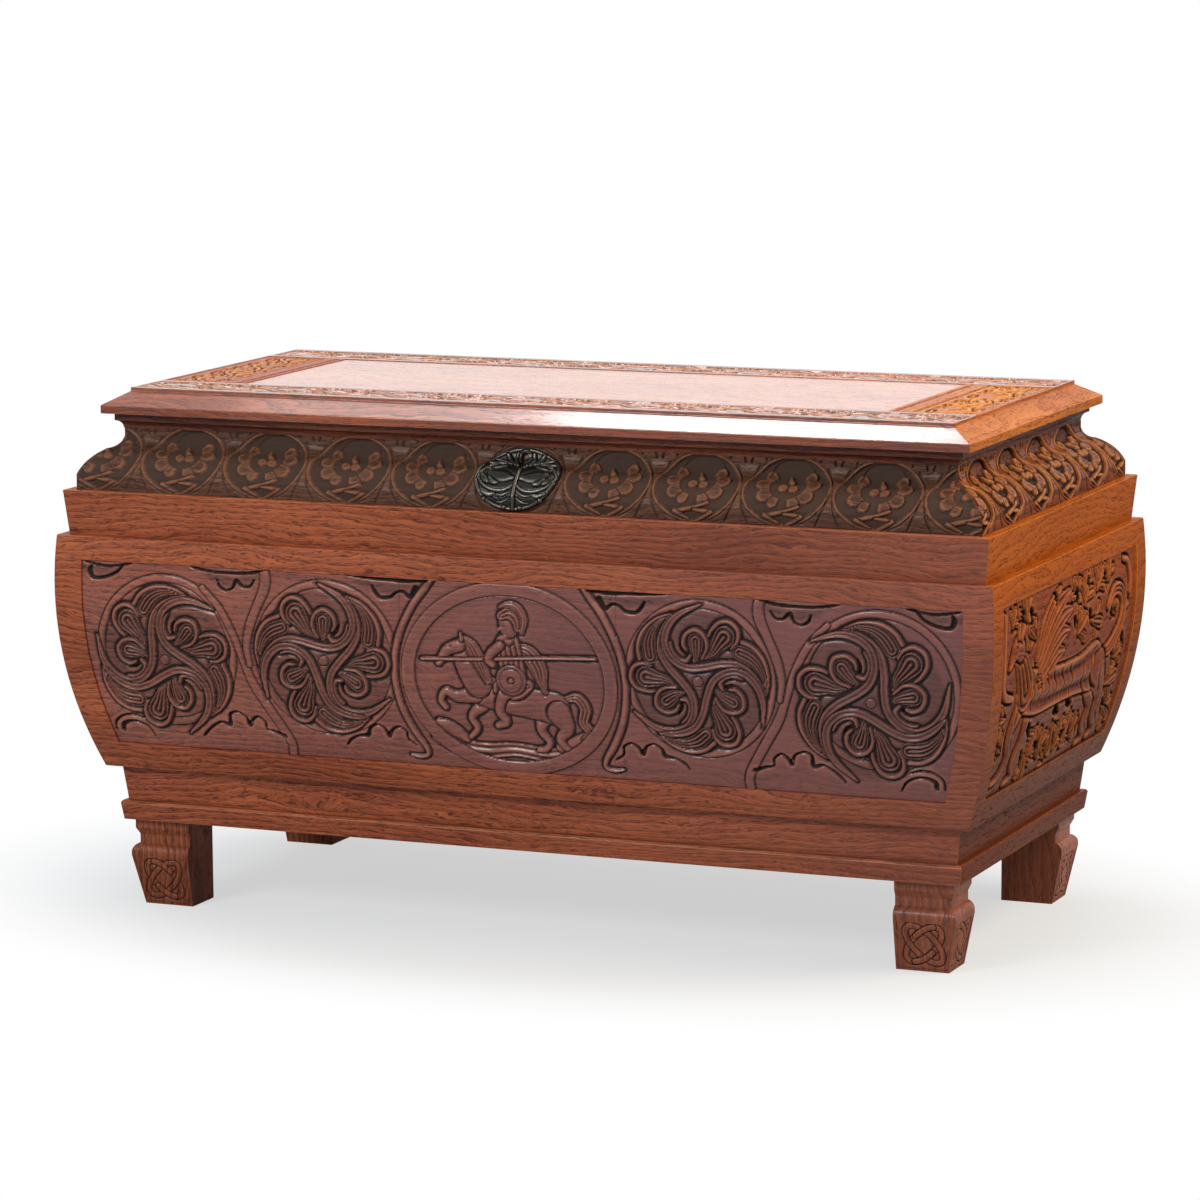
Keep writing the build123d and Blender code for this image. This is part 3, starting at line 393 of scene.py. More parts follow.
class Relief:
    """A carved face: depths in millimetres, 0 at the uncut wood, over points (u, v)."""

    def __init__(self, u, v, ground):
        self.u, self.v = u, v
        self.depth = np.full(u.shape, float(ground))
        # Painted shade laid over parts of the carving, from 0 to 1
        self.tone = np.zeros(u.shape)

    def measure(self, points, margin):
        """For the face near a stroke: how far inside its edge, how far along and across it."""
        line = smooth_line(points)
        reach = line[:, 2].max() + margin
        low, high = line[:, :2].min(0) - reach, line[:, :2].max(0) + reach
        near = (self.u > low[0]) & (self.u < high[0]) & (self.v > low[1]) & (self.v < high[1])
        here_u, here_v = self.u[near], self.v[near]
        inside = np.full(here_u.shape, -1e9)
        along, across = np.zeros_like(here_u), np.zeros_like(here_u)
        count = len(line) - 1
        for index in range(count):
            (u0, v0, w0), (u1, v1, w1) = line[index], line[index + 1]
            du, dv = u1 - u0, v1 - v0
            t = np.clip(((here_u - u0) * du + (here_v - v0) * dv) / max(du * du + dv * dv, 1e-9), 0, 1)
            off_u, off_v = here_u - u0 - t * du, here_v - v0 - t * dv
            width = w0 + t * (w1 - w0)
            distance = np.hypot(off_u, off_v)
            better = width - distance > inside
            inside = np.where(better, width - distance, inside)
            along = np.where(better, (index + t) / count, along)
            across = np.where(better, np.sign(du * off_v - dv * off_u) * distance / width, across)
        return near, inside, along, np.clip(across, -1, 1)

    def sink(self, points, low=-6.0, reach=7.0):
        """Sink the ground towards a stroke that will stand in it."""
        near, inside, along, across = self.measure(points, reach)
        fall = np.clip(1 + inside / reach, 0, 1) ** 1.6
        self.depth[near] = np.minimum(self.depth[near], self.depth[near] * (1 - fall) + low * fall)

    def stroke(self, points, form, edge=-5.0, shoulder=1.3, skirt=1.2):
        """Carve a stroke over what is there: its own form, inside a V cut that sets it off."""
        near, inside, along, across = self.measure(points, skirt)
        old = self.depth[near]
        rise = np.clip(inside / shoulder, 0, 1)
        raised = edge + (form(across, along) - edge) * np.sqrt(rise * (2 - rise))
        beside = np.minimum(old, edge + (old - edge) * np.clip(-inside / skirt, 0, 1))
        self.depth[near] = np.where(inside > 0, raised, beside)

    def swell(self, points, form):
        """Leave wood standing in a stroke, with no cut between it and what is there."""
        near, inside, along, across = self.measure(points, 0)
        old = self.depth[near]
        self.depth[near] = np.where(inside > 0, np.maximum(old, form(across, along)), old)

    def dish(self, centre, half_u, half_v, low, wall=2.0):
        """Cut an oval dish with steep walls and a flat floor."""
        out = np.hypot((self.u - centre[0]) / half_u, (self.v - centre[1]) / half_v)
        share = np.clip((1 - out) * min(half_u, half_v) / wall, 0, 1)
        self.depth = self.depth * (1 - share) + low * share

    def darken(self, points, share):
        """Paint shade over the wood along a stroke."""
        near, inside, along, across = self.measure(points, 0)
        self.tone[near] = np.maximum(self.tone[near], share * np.clip(inside / 6, 0, 1))

    def groove(self, points, deep):
        """Cut a round-bottomed groove along a stroke, as deep as given below the wood there."""
        near, inside, along, across = self.measure(points, 0)
        self.depth[near] -= np.where(inside > 0, deep * (1 - across ** 2), 0)


def plain(s, t):
    """A flat top, rounded a little."""
    return -0.9 - 0.7 * s ** 2


def ridge(s, t):
    """A rim with a round back."""
    return -0.5 - 2.6 * s ** 2


def lobe(s, t):
    """A flat lobe with a raised rim."""
    return -2.0 + 1.5 * s ** 4


def stem(s, t):
    """A stem with a rim each side of a shallow flute."""
    return -0.8 - 2.0 * np.exp(-(s / 0.4) ** 2)


def rounded(s, t):
    """A body or limb, rounded from edge to edge."""
    return -0.4 - 3.2 * s ** 2


def nested(hollows):
    """A leaf lobe with hollows gouged one inside another, round a middle ridge."""
    return lambda s, t: -2.8 + 1.9 * np.cos(2 * math.pi * hollows * np.abs(s))


def folds(count):
    """Cloth, hair or feathers: rounded folds side by side along the stroke."""
    return lambda s, t: -2.2 + 1.5 * np.cos(math.pi * count * s)


def placed(points, centre=(0, 0), degrees=0.0, scale=1.0, flip=1):
    """A motif's points, scaled, turned, perhaps mirrored, and set at a centre."""
    c, s = scale * math.cos(math.radians(degrees)), scale * math.sin(math.radians(degrees))
    return [(centre[0] + flip * (c * u - s * v), centre[1] + s * u + c * v, scale * w) for u, v, w in points]


def oval(centre, half_u, half_v, width, count=36):
    """A closed oval stroke."""
    turns = [2 * math.pi * index / count for index in range(count + 1)]
    return [(centre[0] + half_u * math.cos(a), centre[1] + half_v * math.sin(a), width) for a in turns]


def spread(edges, counts):
    """Evenly spaced points, row by row, between each two neighbours of some upright edges."""
    runs = [first + (last - first) * np.linspace(0, 1, count, endpoint=False)
            for first, last, count in zip(edges[:-1], edges[1:], counts)]
    return np.hstack([*runs, edges[-1]])


def softened(depth, cells):
    """A carved face blurred over some cells each way."""
    for axis in (0, 1):
        widths = [(cells, cells) if axis == way else (0, 0) for way in (0, 1)]
        padded = np.pad(depth, widths, mode="edge")
        size = depth.shape[axis]
        depth = np.mean([np.take(padded, range(at, at + size), axis) for at in range(2 * cells + 1)], 0)
    return depth


# A point's surroundings are this many cells each way. In millimetres below them, a face is painted
# dark, as dirt and painted shade, over SHADE_DIRT_DROP, and below a depth of its own over SHADE_DIRT_RUN.
# It is painted pale, as wear and painted highlight, from HIGHLIGHT_WEAR_START above them over
# HIGHLIGHT_WEAR_RUN, and never more than HIGHLIGHT_WEAR_MOST
BLUR_CELLS = 5
SHADE_DIRT_DROP = 1.5
SHADE_DIRT_RUN = 1.8
HIGHLIGHT_WEAR_START = 0.5
HIGHLIGHT_WEAR_RUN = 2.6
HIGHLIGHT_WEAR_MOST = 0.6


def carved_face(name, face, depth, more_points=(), more_faces=(), dark_from=3.6, tone=0.0):
    """A carved face, with how much dirt and painted shade lies in each point's hollows, and how much wear and
    painted highlight on its crests.
    """
    rows, columns = face.shape[:2]
    index = np.arange(rows * columns).reshape(rows, columns)
    corners = [index[:-1, :-1], index[:-1, 1:], index[1:, 1:], index[1:, :-1]]
    faces = np.stack(corners, -1).reshape(-1, 4).tolist()
    mesh = bpy.data.meshes.new(name)
    mesh.from_pydata(np.vstack([face.reshape(-1, 3), *more_points]), [], [*faces, *more_faces])
    piece = bpy.data.objects.new(name, mesh)
    scene.collection.objects.link(piece)
    lift = depth - softened(depth, BLUR_CELLS)
    # Painted shade with the dirt: darker in crevices, below dark_from, and under the painted shade in tone.
    # Painted highlight with the wear: paler on crests, less so under that shade.
    cavity = np.clip(-lift / SHADE_DIRT_DROP, 0, 1) + np.clip((-depth - dark_from) / SHADE_DIRT_RUN, 0, 1) + tone
    crest = np.clip((lift - HIGHLIGHT_WEAR_START) / HIGHLIGHT_WEAR_RUN, 0, HIGHLIGHT_WEAR_MOST) * (1 - tone)
    for attribute, values in (("dirt_and_shade", np.clip(cavity, 0, 1)), ("worn_highlit", crest)):
        layer = mesh.attributes.new(attribute, "FLOAT", "POINT")
        padded = np.zeros(len(mesh.vertices), np.float32)
        padded[:values.size] = values.ravel()
        layer.data.foreach_set("value", padded)
    mesh.shade_smooth()
    return piece


def carved_skin(name, face, back, depth, dark_from=3.6, tone=0.0):
    """A closed skin: a carved face, and a back of which only the end columns count."""
    rows, columns = face.shape[:2]
    index = np.arange(rows * columns).reshape(rows, columns)
    near_back = rows * columns + np.arange(rows)
    far_back = near_back + rows
    sides = [[*index[0, ::-1], near_back[0], far_back[0]], [*index[-1], far_back[-1], near_back[-1]]]
    for row in range(rows - 1):
        sides.append([index[row, 0], index[row + 1, 0], near_back[row + 1], near_back[row]])
        sides.append([index[row + 1, -1], index[row, -1], far_back[row], far_back[row + 1]])
        sides.append([near_back[row], near_back[row + 1], far_back[row + 1], far_back[row]])
    piece = carved_face(name, face, depth, (back[:, 0], back[:, -1]), sides, dark_from, tone)
    make_active(piece)
    bpy.ops.object.mode_set(mode="EDIT")
    bpy.ops.mesh.select_all(action="SELECT")
    bpy.ops.mesh.normals_make_consistent(inside=False)
    bpy.ops.object.mode_set(mode="OBJECT")
    return piece


def cut_bed(board, bed):
    """Sink a carving's bed in a board."""
    make_active(board)
    cut = board.modifiers.new("bed", "BOOLEAN")
    cut.operation, cut.solver, cut.object = "DIFFERENCE", "EXACT", bed
    bpy.ops.object.modifier_apply(modifier=cut.name)
    bpy.data.objects.remove(bed)


def body_places(side, along, z, depth):
    """Places in metres on a body board."""
    inset, height = body_face(z, depth)
    return on_side(side, along, inset, height)


FIELD_ROWS = 205
field_z = np.linspace(FIELD_LOW_Z, FIELD_HIGH_Z, FIELD_ROWS)[:, None]
field_edge = {side: (HALF_DEPTH if out[0] else HALF_LENGTH) - FIELD_END_MARGIN - body_face(field_z, 0)[0]
              for side, out in OUTWARD.items()}

# One arm of a whorl, in millimetres from its middle: places across and up, and half widths
FAN_RIM = [(-36, 93, 1), (-14, 102, 2), (12, 102, 3), (32, 92, 3.4), (43, 77, 3.4)]
FAN_BLADE = [(-34, 92, 1), (-14, 96, 4), (5, 93, 7.5), (19, 84, 10.5), (29, 70, 10.5)]
TEAR_RIM = [(37, 60, 2), (44, 70, 3), (58, 75, 3.4), (72, 67, 3.4), (75, 52, 3.4), (67, 38, 3), (59, 31, 2)]
TEAR_BLADE = [(29, 16, 1.5), (36, 32, 7), (45, 42, 10.5), (54, 53, 15)]
SCROLL_RIM = [(30, 14, 2), (44, 25, 2.6), (60, 25, 3.2), (71, 14, 3.4), (67, -1, 3.4), (55, -8, 3),
              (46, -6, 2.4)]
SCROLL_BLADE = [(28, 3, 2.5), (40, 8, 7.5), (56, 11, 11)]
SCROLL_PIT = [(40, -6, 3), (47, -11, 3.5), (56, -13, 1.5)]
HOOK = [(37, -2, 2.5), (31, -9, 3.5), (35, -19, 3.5), (47, -26, 3), (60, -26, 1.5)]
STEM = [(-36, 92, 1), (-22, 88, 3.5), (-8, 82, 4.5), (5, 73, 5), (14, 60, 5), (18, 40, 5), (18, 15, 5),
        (20, -5, 5), (28, -20, 5), (42, -31, 5), (62, -34, 5), (82, -24, 5), (96, -4, 4), (104, 30, 1)]
# How far from its middle a whorl is painted darker as shade, and how dark
WHORL_REACH = 102
WHORL_SHADE = 0.38


def carve_whorl(relief, centre, start, scale, flip):
    """Three leafy arms that swirl round a boss."""
    arms = [lambda points, at=start + 120 * arm: placed(points, centre, at, scale, flip) for arm in range(3)]
    for put in arms:
        for part in (FAN_RIM, TEAR_RIM, TEAR_BLADE, SCROLL_RIM, HOOK, STEM):
            relief.sink(put(part))
    for put in arms:
        relief.stroke(put(FAN_RIM), ridge, skirt=2)
        relief.stroke(put(TEAR_RIM), ridge, skirt=2)
        relief.stroke(put(TEAR_BLADE), nested(2))
        relief.stroke(put(SCROLL_RIM), ridge, skirt=2)
        relief.stroke(put(SCROLL_BLADE), nested(2))
        relief.stroke(put(HOOK), ridge, skirt=2)
        relief.groove(put(SCROLL_PIT), 5)
        relief.stroke(put(FAN_BLADE), nested(2))
    for put in arms:
        relief.stroke(put(STEM), stem, skirt=2)
    relief.stroke(placed([(-0.5, 0, 6.5), (0.5, 0, 6.5)], centre), plain)
    relief.darken(placed([(-1, 0, WHORL_REACH), (1, 0, WHORL_REACH)], centre, scale=scale), WHORL_SHADE)


# Each whorl's middle, its ring's middle and half sizes, and its turn, scale and mirroring
WHORLS = [((492, 354), (504, 369), (103, 99), 0, 1.0, 1),
          ((261, 367), (264, 370), (97, 98), -43, 0.93, -1),
          ((-263, 362), (-258, 366), (99, 99), -43, 0.95, 1),
          ((-496, 349), (-492, 362), (97, 98), 0, 0.96, -1)]
# The branches between the rings: one from the foot, one from the head, one round the medallion
BRANCH_UP = [(322, 226, 6), (322, 245, 6), (334, 268, 6), (350, 294, 6), (368, 324, 6), (380, 355, 5),
             (394, 392, 5), (412, 424, 5), (436, 450, 4)]
BRANCH_DOWN = [(350, 486, 7), (344, 470, 7), (346, 452, 7), (356, 430, 6), (368, 402, 6), (374, 375, 5),
               (371, 350, 4)]
BRANCH_ROUND = [(103, 482, 3), (113, 470, 5), (134, 442, 5), (152, 406, 5), (161, 370, 5), (161, 338, 5),
                (154, 304, 5), (140, 274, 5), (127, 254, 4), (125, 243, 3), (136, 239, 3), (150, 241, 1.5)]
# Scalloped leaves at the foot and the head of the field, and in its corners
SCALLOPS = [
    [(140, 254, 1.2), (151, 262, 1.5), (153, 273, 1.5), (163, 278, 1.5), (172, 274, 2), (178, 265, 3)],
    [(179, 266, 3), (185, 276, 1.5), (196, 279, 1.5), (205, 273, 2), (209, 264, 3), (222, 262, 1.5),
     (234, 256, 2), (241, 248, 1)],
    [(330, 254, 3), (345, 259, 1.8), (356, 262, 1.2), (357, 271, 1.5), (366, 278, 1.5), (374, 275, 2),
     (380, 266, 3)],
    [(381, 267, 3), (386, 278, 1.5), (398, 283, 1.5), (408, 279, 2), (410, 265, 3), (424, 267, 1.5),
     (440, 257, 2), (451, 246, 1.5)],
    [(524, 240, 1), (532, 252, 1.5), (546, 259, 1.5), (560, 259, 2), (570, 254, 3), (571, 247, 3)],
    [(538, 265, 1), (555, 269, 1.5), (570, 266, 1.5), (581, 257, 1.5), (582, 245, 1)],
    [(112, 477, 2), (140, 475, 2), (165, 475.5, 1.8), (200, 477, 1.8), (233, 480, 1)],
    [(128, 466, 4), (136, 455, 3), (146, 461, 1.5), (156, 459, 1.5), (164, 453, 2), (178, 452, 2),
     (186, 459, 2.5), (190, 466, 1.5)],
    [(343, 479, 1), (362, 474, 1.8), (385, 472, 1.8), (415, 472, 1.5), (440, 475, 1.5), (452, 478, 1)],
    [(360, 464, 1), (366, 456, 1.5), (376, 455, 1.5), (386, 462, 2.5), (392, 452, 1.5), (402, 449, 1.5),
     (411, 454, 2), (414, 462, 1)],
    [(541, 478, 2), (556, 474, 1.5), (576, 472, 1.5), (596, 474, 1.5), (610, 477, 1)],
    [(553, 474, 1.5), (563, 464, 2), (580, 457, 2), (597, 456, 2.5), (602, 464, 3.5), (600, 470, 2)],
]

# Where the leaves at the head of the field are painted darker as shade, and how dark
LEAF_SHADE = 0.5
SHADES = [[(106, 474, 6), (140, 466, 10), (170, 463, 10), (200, 470, 8), (228, 476, 3)],
          [(348, 474, 6), (370, 465, 10), (396, 461, 11), (424, 468, 8), (448, 475, 3)],
          [(545, 474, 4), (570, 467, 10), (600, 466, 10), (611, 468, 8)]]

# The medallion's rider, the forms that lie behind first
MEDALLION_CENTRE = (0, 353)
MEDALLION_HALF = (142, 120)
MEDALLION_RIM = 9
MEDALLION_FLOOR = -3.5
RIDER_CUT = -5.6
RIDER = [
    (folds(2), [(-112, 268, 5), (-84, 258, 10), (-40, 254, 10), (0, 258, 9), (50, 254, 9), (92, 264, 5)]),
    (rounded, [(-104, 290, 5), (-92, 284, 9), (-78, 276, 9), (-66, 268, 5)]),
    (rounded, [(66, 266, 8), (84, 272, 9), (98, 282, 5)]),
    (folds(3), [(78, 332, 4), (94, 334, 7), (104, 320, 8), (100, 302, 7), (108, 290, 6), (98, 280, 3)]),
    (rounded, [(46, 308, 11), (40, 288, 7), (50, 272, 5), (44, 262, 5), (34, 260, 4)]),
    (rounded, [(-40, 316, 9), (-56, 300, 6), (-50, 284, 5), (-60, 272, 4)]),
    (rounded, [(60, 318, 22), (30, 322, 20), (-4, 326, 19), (-36, 336, 22)]),
    (rounded, [(66, 312, 17), (76, 292, 10), (66, 276, 7), (78, 262, 5), (92, 259, 4)]),
    (rounded, [(-50, 330, 12), (-74, 326, 8), (-90, 332, 6), (-98, 320, 5), (-92, 310, 4)]),
    (rounded, [(-44, 344, 19), (-56, 362, 16), (-66, 382, 12), (-70, 394, 9)]),
    (folds(4), [(-30, 350, 6), (-40, 372, 9), (-50, 392, 9), (-60, 404, 4)]),
    (rounded, [(-68, 394, 9), (-84, 388, 8), (-94, 376, 6), (-98, 370, 5)]),
    (rounded, [(-64, 402, 3), (-66, 411, 1.5)]),
    (folds(4), [(14, 396, 6), (30, 388, 11), (42, 370, 11), (46, 350, 6), (50, 338, 3)]),
    (folds(3), [(26, 346, 8), (8, 342, 17), (-12, 340, 12)]),
    (rounded, [(6, 346, 11), (-10, 330, 9), (-16, 310, 7), (-8, 296, 6), (-20, 290, 5)]),
    (folds(5), [(8, 356, 16), (4, 378, 18), (0, 396, 18), (0, 402, 14)]),
    (rounded, [(122, 388, 2.4), (40, 384, 2.6), (-40, 378, 2.6), (-122, 374, 2.4)]),
    (rounded, [(-10, 398, 7), (-22, 388, 7), (-28, 378, 6), (-22, 372, 5)]),
    (rounded, [(2, 406, 8), (2, 414, 8)]),
    (rounded, [(2, 419, 12), (2, 430, 14)]),
    (folds(3), [(16, 422, 6), (14, 434, 9), (4, 441, 9), (-8, 437, 6)]),
    (folds(2), [(20, 416, 3), (23, 434, 5), (14, 449, 5), (0, 452, 4), (-10, 448, 2)]),
    (rounded, [(2.5, 352, 21), (3.5, 352, 21)]),
    (plain, [(2.5, 352, 4), (3.5, 352, 4)]),
]


def carve_medallion(relief):
    """A rider with a round shield, in a shallow oval dish with a broad rim."""
    relief.dish(MEDALLION_CENTRE, *MEDALLION_HALF, MEDALLION_FLOOR, wall=20)
    for form, points in RIDER:
        relief.sink(points, low=RIDER_CUT, reach=5)
    for form, points in RIDER:
        relief.stroke(points, form, edge=RIDER_CUT, skirt=1.6)
    # The face's nose and chin, the shield's ring, then the rider's eye and mouth and the horse's eye
    for points in ([(-8, 421, 3), (-12, 418, 1.8)], [(-2, 410, 5), (-7, 408, 4)]):
        relief.swell(points, rounded)
    relief.groove(oval((3, 352), 16, 16, 1.0), 1.6)
    for deep, points in ((1.8, [(-3, 424, 1.0), (-7, 423.5, 1.0)]),
                         (1.2, [(-6, 413, 0.7), (-10, 412.5, 0.7)]),
                         (2, [(-78, 394, 1.2), (-82, 393, 1.2)])):
        relief.groove(points, deep)
    relief.stroke(oval(MEDALLION_CENTRE, *MEDALLION_HALF, MEDALLION_RIM), lambda s, t: -0.3 - 0.5 * s ** 2)


medallion_edge = np.full_like(field_z, MEDALLION_HALF[0] + MEDALLION_RIM)
front_edges = [-field_edge["front"], -medallion_edge, medallion_edge, field_edge["front"]]
FRONT_COLUMNS = (367, 240, 367)
FRONT_GROUND = -2.6
front_relief = Relief(spread(front_edges, FRONT_COLUMNS), np.repeat(field_z, sum(FRONT_COLUMNS) + 1, 1),
                      FRONT_GROUND)
for _, ring_centre, ring_half, *_ in WHORLS:
    front_relief.stroke(oval(ring_centre, *ring_half, 5), plain, skirt=2)
for flip in (1, -1):
    front_relief.stroke(placed(BRANCH_UP, flip=flip), plain, skirt=2)
    front_relief.stroke(placed(BRANCH_DOWN, flip=flip), plain, skirt=2)
    front_relief.sink(placed(BRANCH_ROUND, flip=flip), low=-5, reach=5)
    front_relief.stroke(placed(BRANCH_ROUND, flip=flip), ridge, skirt=2.6)
for whorl_centre, _, _, *turns in WHORLS:
    carve_whorl(front_relief, whorl_centre, *turns)
for flip in (1, -1):
    for points in SCALLOPS:
        front_relief.groove([(u, v, 1.3 * w) for u, v, w in placed(points, flip=flip)], 5)
    for points in SHADES:
        front_relief.darken(placed(points, flip=flip), LEAF_SHADE)
carve_medallion(front_relief)

# The front board is the rear one mirrored, since that one has no rings left standing; its bed
# follows a few rows of the field, from the foot to the head
BED_ROWS = [0, 51, 102, 153, -1]
front_board = copy_of("body_board_rear", "body_board_front_oak")
front_board.data.transform(Matrix.Scale(-1, 4, (0, 1, 0)))
front_board.data.flip_normals()
bed_edges, bed_z = field_edge["front"][BED_ROWS], field_z[BED_ROWS]
bed_along = spread([-bed_edges, bed_edges], [1])
cut_bed(front_board, carved_skin("bed", body_places("front", bed_along, bed_z, BED_PROUD),
                                 body_places("front", bed_along, bed_z, BED_DEPTH), 0 * bed_along))
ease_arrises(front_board, ARRIS)
hand_over(front_board, body_oak["X"], "carcass", "body_oak", "body_board_front")

front_back = body_places("front", front_relief.u, field_z, BED_DEPTH - SKIN_LAP)
front_places = body_places("front", front_relief.u, front_relief.v, front_relief.depth)
starts = np.cumsum([0, *FRONT_COLUMNS])
for part, start, stop in zip(("left", "middle", "right"), starts[:-1], starts[1:] + 1):
    run = slice(start, stop)
    skin = carved_skin(f"front_carving_{part}", front_places[:, run], front_back[:, run],
                       front_relief.depth[:, run], tone=front_relief.tone[:, run])
    hand_over(skin, carved_oak["X"], "carcass", "body_oak")

# --- Carved end boards ----------------------------------------------------------------
# A winged beast among leaves, undercut more deeply than the front. The left end is the
# mirror of the right one. The rear board is left plain.

SIDE_GROUND = -3.2
SIDE_CUT = -8.0
SIDE_FLOOR = -8.6
# The branches that hem the beast in, its tail and far legs, then its body, near legs and head
BEAST = [
    (plain, [(-276, 466, 4), (-277, 410, 5), (-273, 376, 6), (-258, 360, 6), (-232, 354, 5)]),
    (rounded, [(232, 468, 4), (252, 462, 6), (262, 440, 5), (262, 418, 3)]),
    (folds(3), [(148, 346, 8), (190, 356, 12), (226, 378, 12), (238, 406, 11), (222, 428, 10), (190, 430, 9),
                (166, 414, 6)]),
    (rounded, [(-150, 316, 14), (-158, 290, 10), (-176, 266, 8), (-168, 244, 7), (-188, 236, 5)]),
    (rounded, [(120, 316, 22), (140, 286, 13), (128, 262, 9), (140, 242, 7), (120, 234, 5)]),
    (folds(2), [(-186, 352, 26), (-120, 346, 31), (-40, 340, 26), (50, 338, 26), (120, 340, 34)]),
    (rounded, [(150, 330, 30), (178, 296, 17), (170, 268, 11), (186, 246, 8), (166, 236, 5)]),
    (rounded, [(-190, 334, 20), (-216, 306, 13), (-208, 276, 10), (-226, 252, 8), (-248, 246, 5)]),
    (folds(4), [(-176, 356, 28), (-196, 386, 22), (-216, 410, 16)]),
    (rounded, [(-206, 412, 16), (-226, 418, 15), (-244, 404, 9), (-252, 396, 5)]),
    (rounded, [(-210, 428, 4), (-200, 446, 3)]),
    (rounded, [(-222, 430, 4), (-220, 446, 3)]),
]
WING = [[(-118, 356, 7), (-84, 372, 12), (-52, 384, 11), (-24, 384, 5)],
        [(-122, 366, 7), (-78, 394, 12), (-38, 408, 11), (-6, 408, 5)],
        [(-126, 376, 7), (-80, 412, 12), (-34, 430, 11), (2, 434, 5)],
        [(-132, 386, 7), (-92, 424, 12), (-44, 448, 11), (-6, 458, 5)],
        [(-140, 392, 6), (-112, 428, 11), (-76, 452, 10), (-44, 468, 4)]]
# A sprig of three lobes; then where each sprig grows from, how it turns, and its scale
SPRIG = [[(0, -4, 2), (-9, 8, 5.5), (-22, 16, 7.5)], [(0, -4, 2), (9, 8, 5.5), (22, 16, 7.5)],
         [(0, -6, 2), (0, 14, 7), (0, 32, 8.5)]]
SPRIGS = [(-186, 452, 20, 1.0), (-150, 420, 60, 0.8), (-244, 448, -30, 0.7), (-252, 330, 100, 0.9),
          (-244, 288, 70, 0.8), (-116, 262, 190, 1.1), (-92, 290, 150, 0.9), (-58, 252, 20, 1.0),
          (-20, 282, 200, 1.1), (16, 250, -20, 1.0), (56, 284, 170, 1.1), (84, 252, 30, 0.9),
          (40, 398, -60, 1.0), (64, 436, -20, 1.1), (30, 446, 30, 0.8), (104, 402, -100, 1.0),
          (118, 446, -40, 1.0), (168, 452, -10, 0.8), (206, 302, -80, 1.1), (222, 264, -120, 0.9),
          (228, 336, -60, 0.8), (244, 392, 0, 0.7), (-20, 232, 90, 0.6), (200, 400, 40, 0.6)]
# Pits left between the leaves: where each starts and stops
PITS = [(-208, 462, -196, 446), (-70, 464, -62, 448), (22, 458, 34, 436), (72, 464, 80, 448),
        (150, 462, 158, 440), (-278, 340, -270, 322), (-262, 300, -256, 280), (-140, 304, -118, 286),
        (-140, 270, -128, 246), (-84, 274, -70, 250), (-40, 268, -34, 246), (-4, 270, 2, 246),
        (34, 274, 40, 250), (66, 268, 74, 244), (100, 276, 108, 250), (-30, 304, -4, 298),
        (24, 306, 50, 300), (204, 350, 214, 326), (244, 366, 250, 342), (206, 280, 214, 256),
        (-170, 460, -160, 440), (16, 420, 28, 404), (84, 420, 92, 400), (184, 402, 196, 396)]
# Lines cut in the beast's flank and haunches
FLANK_LINES = [[(-150, 366, 1), (-138, 348, 2.2), (-142, 326, 1)],
               [(-120, 368, 1), (-106, 348, 2.4), (-112, 324, 1)],
               [(-88, 366, 1), (-74, 344, 2.4), (-80, 320, 1)],
               [(-56, 362, 1), (-42, 340, 2.4), (-48, 318, 1)],
               [(-22, 360, 1), (-8, 338, 2.4), (-14, 316, 1)],
               [(14, 360, 1), (28, 338, 2.4), (22, 316, 1)],
               [(96, 362, 1), (78, 344, 2.6), (82, 318, 2.6), (104, 300, 1)],
               [(124, 366, 1), (112, 344, 2.6), (124, 318, 2.6), (146, 306, 1)],
               [(166, 346, 1.4), (156, 324, 2.6), (164, 300, 1)],
               [(-196, 340, 1.4), (-206, 320, 2.6), (-204, 296, 1)]]


def carve_beast(relief):
    """The beast, then its wing and the leaves round it."""
    leaves = [placed(points, (u, v), degrees, scale) for u, v, degrees, scale in SPRIGS for points in SPRIG]
    for points in [*leaves, *WING, *[points for form, points in BEAST]]:
        relief.sink(points, low=-6.4, reach=6)
    for points in leaves:
        relief.stroke(points, nested(1), edge=SIDE_CUT, skirt=4.2)
    for form, points in BEAST:
        relief.stroke(points, form, edge=SIDE_CUT, skirt=4.2)
    for points in WING:
        relief.stroke(points, folds(2), edge=-7.4, skirt=3)
    for points in FLANK_LINES:
        relief.groove([(u, v, 1.5 * w) for u, v, w in points], 4.5)
    for u0, v0, u1, v1 in PITS:
        relief.groove([(u0, v0, 4), ((u0 + u1) / 2 + 2, (v0 + v1) / 2 + 2, 9), (u1, v1, 4)], 8)
    relief.depth = np.maximum(relief.depth, SIDE_FLOOR)
    # The beast's eye and mouth
    relief.groove([(-228, 420, 2), (-232, 420, 2)], 3)
    relief.groove([(-244, 400, 1.2), (-254, 392, 1.2)], 2)


SIDE_COLUMNS = 430
side_share = np.repeat(np.linspace(-1, 1, SIDE_COLUMNS)[None], FIELD_ROWS, 0)
side_relief = Relief(side_share * field_edge["right"], np.repeat(field_z, SIDE_COLUMNS, 1), SIDE_GROUND)
carve_beast(side_relief)
for side, flip in (("right", 1), ("left", -1)):
    board = copy_of(f"body_board_{side}", f"body_board_{side}_oak")
    ease_arrises(board, ARRIS)
    hand_over(board, body_oak["Y"], "carcass", "body_oak", f"body_board_{side}")
    skin = carved_skin(f"end_carving_{side}",
                       body_places(side, flip * side_relief.u, side_relief.v, side_relief.depth),
                       body_places(side, flip * side_relief.u, field_z, BED_DEPTH - SKIN_LAP),
                       side_relief.depth, dark_from=3.0)
    hand_over(skin, carved_oak["Y"], "carcass", "body_oak")
board = copy_of("body_board_rear", "body_board_rear_oak")
ease_arrises(board, ARRIS)
hand_over(board, body_oak["X"], "carcass", "body_oak", "body_board_rear")

